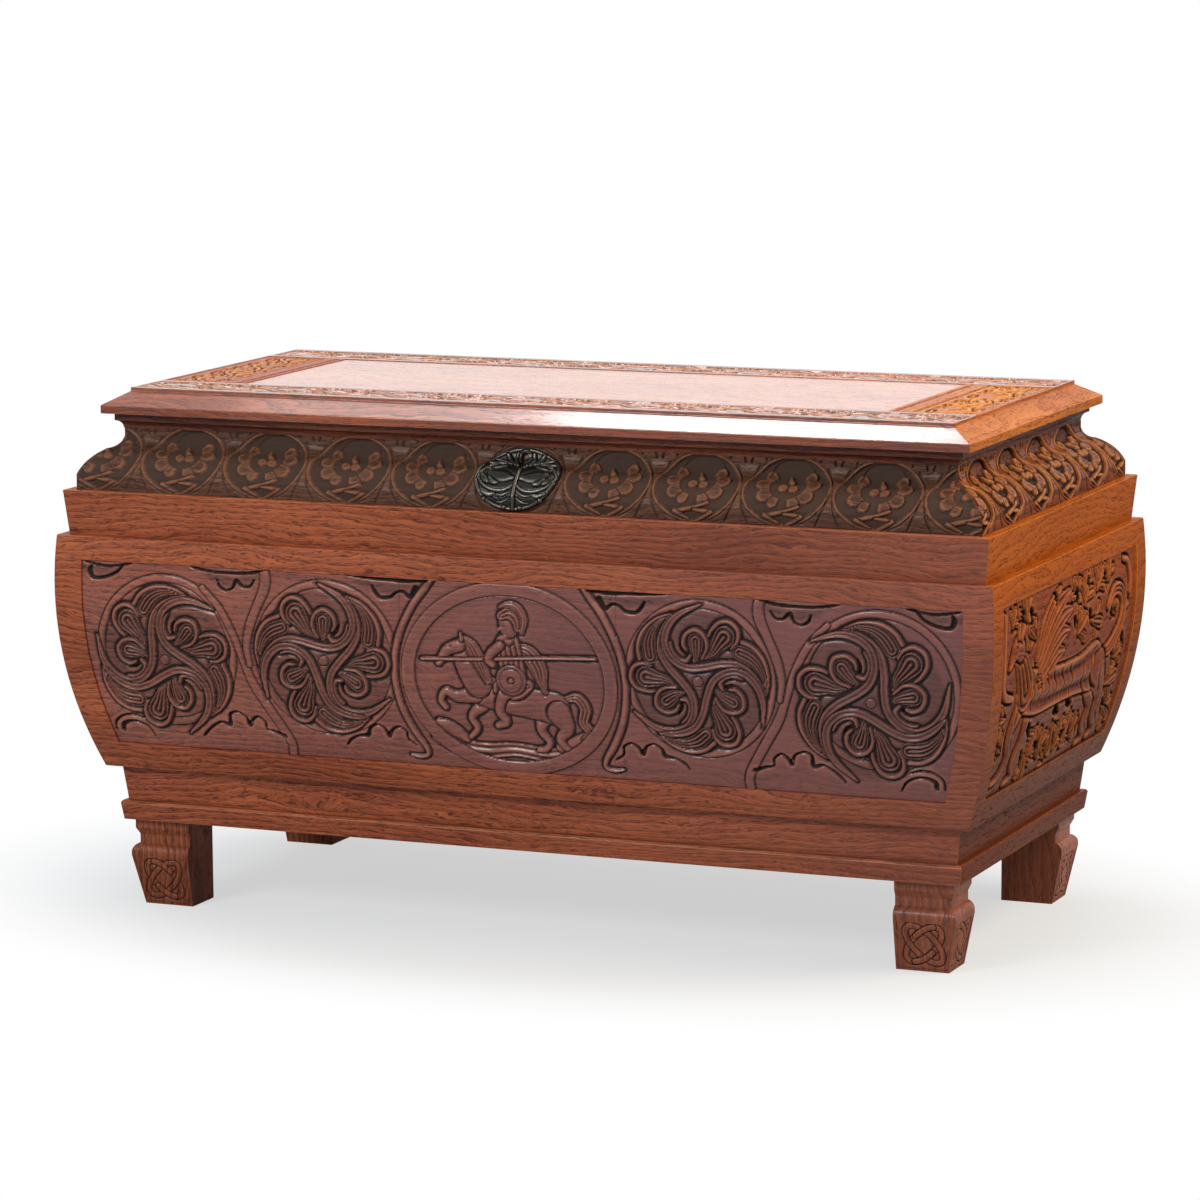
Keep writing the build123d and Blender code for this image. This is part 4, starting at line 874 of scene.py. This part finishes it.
# --- Carved cornice -------------------------------------------------------------------
# An ogee of oak with a row of dished ovals, each with an open flower over crossed ribbons.
# Its ground is painted nearly black, partly as dark stain and old wax, partly as painted shade; the
# escutcheon takes the place of one flower.

CORNICE_FOOT_Z = 569.0
CORNICE_FOOT_INSET = 18.5
CORNICE_NECK_INSET = 66.5
CORNICE_FILLET = 20.0
CORNICE_NECK = 10.0
CORNICE_HEIGHT = 79.0
CORNICE_TURN = (32.0, 33.5)
CORNICE_SWELL = 4.5
CORNICE_HOLLOW = 3.8
CORNICE_BED = -7.0
OVAL_SPACING = 121.5
OVAL_START = 3.0
CORNICE_GROUND = -1.2
OVAL_FLOOR = -4.8
HEART_FLOOR = -5.2
HEART_RADIUS = 25
PETAL_CUT = -6.0


def sagged(start, end, sag):
    """Points on an arc that stands out from its chord, or in where the sag is negative."""
    run, rise = end[0] - start[0], end[1] - start[1]
    half = 2 * math.atan(2 * abs(sag) / math.hypot(run, rise))
    angle = np.linspace(-half, half, 33)[1:]
    along = 0.5 + np.sin(angle) / (2 * math.sin(half))
    out = math.copysign(1, sag) * (np.cos(angle) - math.cos(half)) / (2 * math.sin(half))
    return np.stack([start[0] + along * run - out * rise, start[1] + along * rise + out * run], -1)


spring = (CORNICE_FOOT_INSET, CORNICE_FOOT_Z + CORNICE_FILLET)
turn = (spring[0] + CORNICE_TURN[0], spring[1] + CORNICE_TURN[1])
neck = (CORNICE_NECK_INSET, CORNICE_FOOT_Z + CORNICE_HEIGHT - CORNICE_NECK)
profile = np.vstack([(CORNICE_FOOT_INSET, CORNICE_FOOT_Z), spring, sagged(spring, turn, CORNICE_SWELL),
                     sagged(turn, neck, -CORNICE_HOLLOW),
                     (CORNICE_NECK_INSET, CORNICE_FOOT_Z + CORNICE_HEIGHT)])
profile_s = np.concatenate([[0], np.cumsum(np.hypot(*np.diff(profile, axis=0).T))])
CORNICE_RUN = profile_s[-1]


def cornice_face(s, depth):
    """Inset and height at a distance up the ogee and a depth from it."""
    reach = 1.5
    low, high = np.clip(s - reach, 0, CORNICE_RUN), np.clip(s + reach, 0, CORNICE_RUN)
    run = np.interp(high, profile_s, profile[:, 0]) - np.interp(low, profile_s, profile[:, 0])
    rise = np.interp(high, profile_s, profile[:, 1]) - np.interp(low, profile_s, profile[:, 1])
    size = np.hypot(run, rise)
    inset = np.interp(s, profile_s, profile[:, 0]) - depth * rise / size
    return inset, np.interp(s, profile_s, profile[:, 1]) + depth * run / size


def cornice_places(side, along, s, depth):
    """Places in metres on the ogee, from a share of its mitred length and distance up it."""
    inset, height = cornice_face(s, depth)
    half_run = HALF_LENGTH if side in ("front", "rear") else HALF_DEPTH
    return on_side(side, along * (half_run - inset), inset, height)


# One oval, in millimetres from its middle line and up from the cornice's foot
OVAL_MIDDLE_S = 52.0
OVAL_HALF = (55.5, 50.5)
OVAL_LINE = [(-30, 76, 0.8), (-24, 88, 1.6), (-12, 95, 2.0), (4, 98, 2.0), (18, 97, 2.2), (30, 91, 3),
             (35, 82, 3.4)]
# The flower's middle, up from the cornice's foot, then the turn and two half widths of each petal
HEART_S = 60
PETALS = [(35, 5, 7), (4, 7, 10), (-34, 7, 10.5), (-66, 6, 8), (146, 5, 7), (178, 7, 10), (214, 7, 10.5),
          (244, 6, 7)]
# The flower's three seeds, and the ribbons below it
SPRAY = [
    (rounded, [(-1, 78, 2), (1, 71, 4.5), (4, 65, 5)]),
    (lobe, [(-6, 55, 6), (-5, 55, 6)]),
    (lobe, [(8, 54, 6), (9, 54, 6)]),
    (plain, [(21, 26, 2.6), (5, 19, 3), (-12, 14, 3), (-23, 11, 2.4)]),
    (plain, [(-23, 12, 3), (-13, 7, 3), (-4, 3, 2)]),
    (plain, [(3, 15, 2), (14, 14, 3), (26, 12, 2.4)]),
    (plain, [(26, 12, 3), (17, 6, 3), (6, 1, 2)]),
]
# Flutes each side of the place where two ovals meet: how deep, and where
FLUTES = [(2.4, [(3, 44, 0.8), (5, 30, 1.4), (10, 14, 1.4), (16, 1, 1)]),
          (2.4, [(3, 62, 0.8), (7, 76, 1.4), (15, 90, 1.4)]),
          (3.6, [(6, 102, 0.8), (4, 95, 2.4)]),
          (3.2, [(26, 103, 0.8), (24, 98, 2.0)])]


def carve_oval(relief, middle, with_flower):
    """A dished oval with its flower, a thin rim, and the fluted gusset at its end."""
    if with_flower:
        relief.dish((middle, OVAL_MIDDLE_S), *OVAL_HALF, OVAL_FLOOR)
    relief.stroke(oval((middle, OVAL_MIDDLE_S), OVAL_HALF[0] + 2, OVAL_HALF[1] + 1, 2.0), ridge,
                  edge=-3.4, skirt=1.4)
    if with_flower:
        for degrees, start, end in PETALS:
            petal = [(20, 0, 0.6 * start), (28, 0, 0.8 * end), (33, 0, end)]
            relief.stroke(placed(petal, (middle, HEART_S), degrees), lobe, edge=PETAL_CUT, skirt=1.2)
        relief.dish((middle, HEART_S), HEART_RADIUS, HEART_RADIUS, HEART_FLOOR)
        for form, points in SPRAY:
            relief.stroke(placed(points, (middle, 0)), form, edge=PETAL_CUT, skirt=1.2)
        relief.groove(placed(OVAL_LINE, (middle, 0)), 2.2)
    for flip in (-1, 1):
        for deep, points in FLUTES:
            relief.groove(placed(points, (middle + OVAL_SPACING / 2, 0), flip=flip), deep)


cornice_oak = {
    "X": stained_oak("smoked_oak_cornice_x", "X", "#3a2016", "#62402c", "#160906", 0.46, 0.04, dirt_shade="#42322a",
                     wear_highlight="#8e5c40", gloss=0.2),
    "Y": stained_oak("smoked_oak_cornice_y", "Y", "#4c200e", "#844418", "#221008", 0.3, 0.05, dirt_shade="#1a0e0a",
                     wear_highlight="#b8804c", gloss=0.1, fibre_lift=0.8)}
CORNICE_ROWS = 79
cornice_s = np.linspace(0, CORNICE_RUN, CORNICE_ROWS)[:, None]
for side, columns, first, count in (("front", 970, OVAL_START - 5 * OVAL_SPACING, 11),
                                    ("left", 470, -2.5 * OVAL_SPACING, 6),
                                    ("right", 470, -2.5 * OVAL_SPACING, 6)):
    share = np.repeat(np.linspace(-1, 1, columns)[None], CORNICE_ROWS, 0)
    half_run = HALF_LENGTH if side == "front" else HALF_DEPTH
    relief = Relief(share * (half_run - cornice_face(cornice_s, 0)[0]), np.repeat(cornice_s, columns, 1),
                    CORNICE_GROUND)
    for index in range(count):
        middle = first + index * OVAL_SPACING
        carve_oval(relief, middle, side != "front" or abs(middle) > OVAL_SPACING / 2)
    # The carving runs out to nothing at the edges and the mitres
    margin = np.minimum(np.minimum(relief.v, CORNICE_RUN - relief.v), (1 - np.abs(share)) * half_run)
    relief.depth = np.maximum(relief.depth, -1.0 - 1.5 * margin)
    relief.depth = np.where(margin < 2, np.minimum(relief.depth, -0.6), relief.depth)
    skin = carved_skin(f"cornice_carving_{side}", cornice_places(side, share, cornice_s, relief.depth),
                       cornice_places(side, share, cornice_s, CORNICE_BED - SKIN_LAP), relief.depth,
                       dark_from=2.8 if side == "front" else 4.0)
    hand_over(skin, cornice_oak[GRAIN[side]], "carcass", "cornice_oak")

for side, grain in GRAIN.items():
    node = f"cornice_{side}"
    board = copy_of(node, f"{node}_oak")
    if side != "rear":
        bed_s = np.linspace(0, CORNICE_RUN, 40)[:, None]
        ends = np.repeat([[-1.02, 1.02]], 40, 0)
        cut_bed(board, carved_skin("bed", cornice_places(side, ends, bed_s, BED_PROUD),
                                   cornice_places(side, ends, bed_s, CORNICE_BED), 0 * ends))
    ease_arrises(board, ARRIS)
    hand_over(board, cornice_oak[grain], "carcass", "cornice_oak", node)

# --- Feet -----------------------------------------------------------------------------
# Blocks of oak with the grain upright, moulded on their outer faces and dowelled to the plinth.
# A looped knot is cut in both outer faces of each toe.

TOE_HEIGHT = 68.0
TOE_INSET = (79.0, 65.5)
TOE_INNER = {"front": 501.0, "rear": 501.0, "left": 186.0, "right": 186.0}
TOE_MARGIN = 3.0
TOE_BED = -4.0
TOE_BED_PROUD = 4.0
KNOT_LOOP = (31.0, 15.0)
KNOT_BAND = 4.0
KNOT_MIDDLE_Z = 36.0
KNOT_GROUND = -0.6
KNOT_CUT = -3.0
TOE_ROWS, TOE_COLUMNS = 62, 78

toe_z = np.linspace(TOE_MARGIN, TOE_HEIGHT - TOE_MARGIN, TOE_ROWS)[:, None]


def toe_inset(z):
    """How far in from the chest's widest a toe's outer face is, by its height."""
    return TOE_INSET[0] + (TOE_INSET[1] - TOE_INSET[0]) * z / TOE_HEIGHT


def toe_places(side, along, z, depth):
    """Places in metres on a toe's outer face."""
    return on_side(side, along, toe_inset(z) - depth, z)


def toe_edges(side):
    """The inner and the outer edge of a toe's carved face, by its height."""
    half_run = HALF_DEPTH if OUTWARD[side][0] else HALF_LENGTH
    return np.full_like(toe_z, TOE_INNER[side] + TOE_MARGIN), half_run - toe_inset(toe_z) - TOE_MARGIN


def flat_band(s, t):
    """A knot's band, a little rounded."""
    return -0.3 - 0.8 * s ** 2


knot_loop = oval((0, 0), *KNOT_LOOP, KNOT_BAND)
for ends in ("front", "rear"):
    for hand in ("left", "right"):
        node = f"foot_{ends}_{hand}"
        foot = copy_of(node, f"{node}_oak")
        for side, other in ((ends, hand), (hand, ends)):
            # A side's run counts to the right, seen from outside it
            flip = (OUTWARD[side][0] - OUTWARD[side][1]) * sum(OUTWARD[other])
            inner, outer = toe_edges(side)
            run = inner + (outer - inner) * np.linspace(0, 1, TOE_COLUMNS)[None]
            relief = Relief(run, np.repeat(toe_z, TOE_COLUMNS, 1), KNOT_GROUND)
            middle = (np.mean((inner + outer) / 2), KNOT_MIDDLE_Z)
            # Two crossed loops; the first goes over the second again at every other crossing
            for loop, degrees in ((knot_loop, 45), (knot_loop, 135), (knot_loop[3:10], 45),
                                  (knot_loop[21:28], 45)):
                relief.stroke(placed(loop, middle, degrees), flat_band, edge=KNOT_CUT, skirt=1.5)
            skin = carved_skin(f"knot_{node}_{side}", toe_places(side, flip * run, toe_z, relief.depth),
                               toe_places(side, flip * run, toe_z, TOE_BED - SKIN_LAP), relief.depth,
                               dark_from=1.6)
            hand_over(skin, body_oak["Z"], "carcass", "body_oak")
            bed_run = np.hstack([inner, outer])[[0, -1]]
            cut_bed(foot, carved_skin("bed", toe_places(side, flip * bed_run, toe_z[[0, -1]], TOE_BED_PROUD),
                                      toe_places(side, flip * bed_run, toe_z[[0, -1]], TOE_BED), 0 * bed_run))
        ease_arrises(foot, ARRIS)
        hand_over(foot, body_oak["Z"], "carcass", "body_oak", node)

# --- Lid ------------------------------------------------------------------------------
# A polished, bevelled frame round a plain panel. Its flat border is carved with running
# leaves in low relief, and a plain fillet stands beside them at each end.

LID_TOP_Z = 701.0
LID_BED = -7.0
LID_BED_PROUD = 5.0
BAND_PITCH = 84.0
# One repeat of the running leaves, in millimetres along the band and across from its middle
RUNNER = [(0, -14, 3), (21, -8, 3.2), (42, 10, 3.2), (63, 17, 3), (84, 10, 3)]
LEAVES = [[(8, 14, 2), (16, 8, 6), (24, 14, 7), (26, 22, 4)], [(30, 24, 3), (42, 26, 5), (54, 28, 3)],
          [(34, -10, 2), (44, -10, 7), (52, -20, 6), (48, -27, 3)],
          [(60, 0, 2), (66, -8, 6), (76, -12, 6), (82, -8, 3)], [(62, -24, 3), (72, -28, 4), (80, -26, 3)],
          [(2, 0, 2), (6, 4, 5), (4, 12, 4)], [(16, -24, 3), (28, -28, 4), (34, -26, 2)],
          [(76, 22, 3), (82, 28, 4), (92, 26, 3)]]
LEAF_CUT = -5.8
LID_GROUND = -1.0
LID_UNCUT = -0.2
BAND_RIM = 1.2
# Each band's half length and half width, its middle from the lid's, and its rows and columns
END_BAND = (156.0, 56.0, 517.0, 70, 196)
RAIL_BAND = (572.0, 33.0, 205.0, 42, 715)
# On the end boards a plain fillet stands inside the leaves, between two grooves
FILLET_EDGE = -29
FILLET_GROOVES = (-42, -64)
LEAF_SHIFT = 12

# The end boards and the rails' end grain grow darker and redder towards the left end.
lid_oak = {
    "X": stained_oak("polished_oak_lid_x", "X", "#5c220c", "#9c4c22", "#280c04", 0.28, 0.7, dirt_shade="#1e0b06",
                     wear_highlight="#c4864e", gloss=0.4),
    "Y": stained_oak("polished_oak_lid_y", "Y", "#8e4610", "#b06a20", "#5c2c0e", 0.3, 0.06, dirt_shade="#2c1408",
                     wear_highlight="#d8a46c", gloss=0.06, fibre_lift=0.5, age_tint_and_painted_light=("X", 0.3, -0.3, 0.8, "#8a4430"))}
inside_oak = {grain: stained_oak(f"waxed_oak_lid_inside_{grain.lower()}", grain, "#6e3a1e", "#a0623c",
                                 "#3a1a0c", 0.5, 0.05, gloss=0.2, fibre_lift=0.8) for grain in "XY"}
panel_oak = stained_oak("polished_oak_panel", "X", "#a0502a", "#c8794c", "#5a2412", 0.24, 0.85, gloss=0.4,
                        fibre_lift=0.8)


def running_leaves(relief, length):
    """Fill a band with running leaves, turned over at every other repeat."""
    count = math.ceil(length / BAND_PITCH)
    for index in range(count):
        at = (index - count / 2) * BAND_PITCH
        way = 1 if index % 2 else -1
        for points in LEAVES:
            turned_over = [(u, way * v, w) for u, v, w in points]
            relief.stroke(placed(turned_over, (at, 0)), nested(1), edge=LEAF_CUT, skirt=3.2)
        relief.stroke(placed(RUNNER, (at, 0)), ridge, edge=LEAF_CUT, skirt=3.2)


def band_places(side, along, out, depth):
    """Places in metres on one side of the lid's top, by how far along and how far out they are."""
    out_x, out_y = OUTWARD[side]
    x, y = (out_x * out, along) if out_x else (along, out_y * out)
    return np.stack(np.broadcast_arrays(x, y, LID_TOP_Z + depth), -1) / 1000


for name in [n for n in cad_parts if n.startswith("lid_")]:
    board = copy_of(name, f"{name}_oak")
    side, ends = name.split("_")[-1], "end" in name
    grain = "Y" if ends else "X"
    if side in OUTWARD:
        half_run, half_width, middle, rows, columns = END_BAND if ends else RAIL_BAND
        run, across = np.meshgrid(np.linspace(-half_run, half_run, columns),
                                  np.linspace(-half_width, half_width, rows))
        relief = Relief(run, across - LEAF_SHIFT if ends else across, LID_GROUND)
        running_leaves(relief, 2 * half_run + 10)
        if ends:
            relief.depth = np.where(across < FILLET_EDGE, LID_UNCUT, relief.depth)
            for edge in FILLET_GROOVES:
                relief.groove([(-160, edge, 2), (160, edge, 2)], 3)
        rim = np.minimum(half_run - np.abs(run), half_width - np.abs(across))
        relief.depth = np.where(rim < BAND_RIM, LID_UNCUT, relief.depth)
        skin = carved_skin(f"{name}_leaves", band_places(side, run, middle + across, relief.depth),
                           band_places(side, run, middle + across, LID_BED - SKIN_LAP), relief.depth,
                           dark_from=2.4)
        hand_over(skin, lid_oak[grain], "lid", "lid_oak")
        corner_run, corner_out = np.meshgrid([-half_run, half_run],
                                             [middle - half_width, middle + half_width])
        cut_bed(board, carved_skin("bed", band_places(side, corner_run, corner_out, LID_BED_PROUD),
                                   band_places(side, corner_run, corner_out, LID_BED), 0 * corner_run))
    ease_arrises(board, ARRIS)
    hand_over(board, lid_oak[grain] if side in OUTWARD else panel_oak, "lid", "lid_oak", name)
    # Inside the lid the oak is only waxed; the rails' end grain is stained as the end boards are
    board.data.materials.append(inside_oak[grain])
    board.data.materials.append(lid_oak["Y"])
    for face in board.data.polygons:
        end_grain = "rail" in name and abs(face.normal.x) > 0.3
        face.material_index = 1 if face.normal.z < -0.5 else 2 if end_grain else 0

# --- Fittings -------------------------------------------------------------------------
# Hinges, lock, keeper and nails, forged from black wrought iron, hammer-marked and dull with
# old wax. Their CAD shapes are right, so they only get their material.
wrought_iron = bpy.data.materials.new("black_wrought_iron")
tree = bare_tree(wrought_iron)
place = add_node(tree, "TexCoord")
scale = add_node(tree, "TexNoise", {"Vector": place.outputs["Object"], "Scale": 260.0, "Detail": 4.0})
colour = add_node(tree, "Mix", {"Factor": scale.outputs["Fac"], "A": paint("#1b1a19"), "B": paint("#4a4441")},
                  data_type="RGBA")
rough = add_node(tree, "MapRange", {"Value": scale.outputs["Fac"], "To Min": 0.35, "To Max": 0.65})
bump = add_node(tree, "Bump", {"Height": scale.outputs["Fac"], "Strength": 0.3, "Distance": 0.0004})
shader = add_node(tree, "BsdfPrincipled", {"Base Color": colour.outputs["Result"], "Metallic": 0.85,
                                           "Roughness": rough.outputs[0], "Normal": bump.outputs[0]})
add_node(tree, "OutputMaterial", {"Surface": shader.outputs[0]})
for name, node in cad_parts.items():
    if name.startswith(("hinge_", "lock_", "keeper_")):
        node.data.materials.clear()
        node.data.materials.append(wrought_iron)

# --- Escutcheon -----------------------------------------------------------------------
# An oval of thin iron laid over the ogee, chased with leafy scrolls on a punched ground and
# nailed round its edge. It is painted black in its hollows, partly as blackened iron, partly as
# painted shade, and pale on its crests, partly as rubbed iron, partly as painted highlight.

PLATE_HALF = (58.5, 49.5)
PLATE_MIDDLE = (0.5, 50.5)
PLATE_STAND = 1.7
PLATE_THICKNESS = 0.0012
PLATE_COLUMNS, PLATE_ROWS = 150, 126
PLATE_GROUND = -3.4
PLATE_CUT = -4.8
PLATE_RELIEF = 0.8
PUNCH_DEEP = 0.2
PUNCH_PITCH = 1.9
KEYHOLE_Z = 635.0
KEYHOLE_RADIUS = 4.8
KEYHOLE_SLOT = 2.6
KEYHOLE_DROP = 13
# One half of the chasing, which is mirrored about a line 2 mm right of the middle
PLATE_STROKES = [
    (rounded, [(0, 62, 1.8), (-10, 70, 1.8), (-24, 71, 1.8), (-40, 64, 1.8), (-50, 52, 1.6), (-52, 42, 1.2)]),
    (rounded, [(0, 34, 1.8), (-12, 27, 1.8), (-28, 27, 1.8), (-42, 33, 1.6), (-50, 42, 1.2)]),
    (rounded, [(-4, 44, 3), (-16, 47, 9), (-26, 50, 10), (-36, 52, 5)]),
    (rounded, [(-36, 38, 3), (-42, 42, 5.5), (-47, 48, 3)]),
    (rounded, [(-24, 36, 2), (-30, 38, 4.2), (-36, 44, 2)]),
    (nested(1), [(-18, 66, 1.4), (-26, 62, 3), (-36, 60, 2)]),
    (nested(1), [(-38, 58, 1.2), (-44, 60, 2.6), (-48, 56, 1.4)]),
    (rounded, [(-4, 66, 1.4), (-10, 78, 3.4), (-9, 92, 2)]),
    (rounded, [(-8, 68, 1.4), (-18, 80, 4), (-24, 90, 2)]),
    (rounded, [(-14, 70, 1.4), (-28, 78, 3.6), (-38, 80, 1.6)]),
    (rounded, [(-22, 72, 1.2), (-34, 71, 2.8), (-44, 70, 1.4)]),
    (nested(1), [(-2, 26, 1.4), (-12, 21, 3.4), (-22, 21, 1.6)]),
    (nested(1), [(-2, 18, 1.4), (-12, 13, 3), (-20, 12, 1.4)]),
    (rounded, [(-24, 22, 1.4), (-32, 21, 3), (-42, 24, 1.4)]),
]
PLATE_NAILS = [(-25, 96), (-45, 84), (45, 84), (27, 96), (-38, 16), (-10, 6), (12, 6), (40, 17)]


def nail_head(s, t):
    """A small domed nail."""
    return 0.4 - 2.4 * s ** 2


# A square grid drawn out to an oval
disc_a, disc_b = np.meshgrid(np.linspace(-1, 1, PLATE_COLUMNS), np.linspace(-1, 1, PLATE_ROWS))
relief = Relief(PLATE_MIDDLE[0] + PLATE_HALF[0] * disc_a * np.sqrt(1 - disc_b ** 2 / 2),
                PLATE_MIDDLE[1] + PLATE_HALF[1] * disc_b * np.sqrt(1 - disc_a ** 2 / 2), PLATE_GROUND)
relief.stroke(oval(PLATE_MIDDLE, PLATE_HALF[0] - 3, PLATE_HALF[1] - 3, 1.8), plain, edge=-4)
for form, points in PLATE_STROKES:
    for flip in (1, -1):
        relief.stroke(placed([(u - 2, v, w) for u, v, w in points], (2, 0), flip=flip), form, edge=PLATE_CUT)
relief.stroke([(2, 4, 2.4), (2, 12, 3.4), (2, 24, 2.2), (2, 46, 2), (2, 62, 3)], rounded, edge=PLATE_CUT)
relief.stroke([(1, 84, 9.5), (1, 88, 9.5)], plain, edge=PLATE_CUT)
for u, v in PLATE_NAILS:
    relief.stroke([(u, v, 2.6), (u + 0.1, v, 2.6)], nail_head, edge=-4.2)
# Rows of small punch marks fill the plate, and cross its scrolls
relief.depth += (PUNCH_DEEP * np.cos(PUNCH_PITCH * (relief.u + relief.v))
                 * np.cos(PUNCH_PITCH * (relief.u - relief.v)))
plate_inset, plate_z = cornice_face(relief.v, PLATE_STAND + PLATE_RELIEF * (relief.depth - PLATE_GROUND))
plate = carved_face("escutcheon_chased", on_side("front", relief.u, plate_inset, plate_z), relief.depth)
edit = bmesh.new()
edit.from_mesh(plate.data)
middles = [(face, face.calc_center_median() * 1000 - Vector((0, 0, KEYHOLE_Z))) for face in edit.faces]
hole = [face for face, at in middles
        if math.hypot(at.x, at.z) < KEYHOLE_RADIUS or abs(at.x) < KEYHOLE_SLOT and -KEYHOLE_DROP < at.z < 0]
bmesh.ops.delete(edit, geom=hole, context="FACES")
edit.to_mesh(plate.data)
edit.free()
make_active(plate)
shell = plate.modifiers.new("sheet", "SOLIDIFY")
shell.thickness, shell.offset = PLATE_THICKNESS, 1
bpy.ops.object.modifier_apply(modifier=shell.name)
# Chased iron, painted black in its hollows, partly as blackened iron, partly as painted shade, and pale on
# its crests, partly as rubbed iron, partly as painted highlight; its crests are smoother too
chased_iron = bpy.data.materials.new("chased_iron")
tree = bare_tree(chased_iron)
place = add_node(tree, "TexCoord")
spots = add_node(tree, "TexNoise", {"Vector": place.outputs["Object"], "Scale": 120.0, "Detail": 4.0})
base = add_node(tree, "Mix", {"Factor": spots.outputs["Fac"], "A": paint("#141412"), "B": paint("#2a2a26")},
                data_type="RGBA")
colour, dirt_and_shade, worn_highlit = dirt_shade_wear_highlight(tree, base.outputs["Result"], "#0c0b0a", "#6a6860")
rough = add_node(tree, "MapRange", {"Value": worn_highlit, "To Min": 0.3, "To Max": 0.22})
shader = add_node(tree, "BsdfPrincipled", {"Base Color": colour, "Metallic": 0.7,
                                           "Roughness": rough.outputs[0]})
add_node(tree, "OutputMaterial", {"Surface": shader.outputs[0]})
hand_over(plate, chased_iron, "carcass", "escutcheon_iron", "escutcheon")
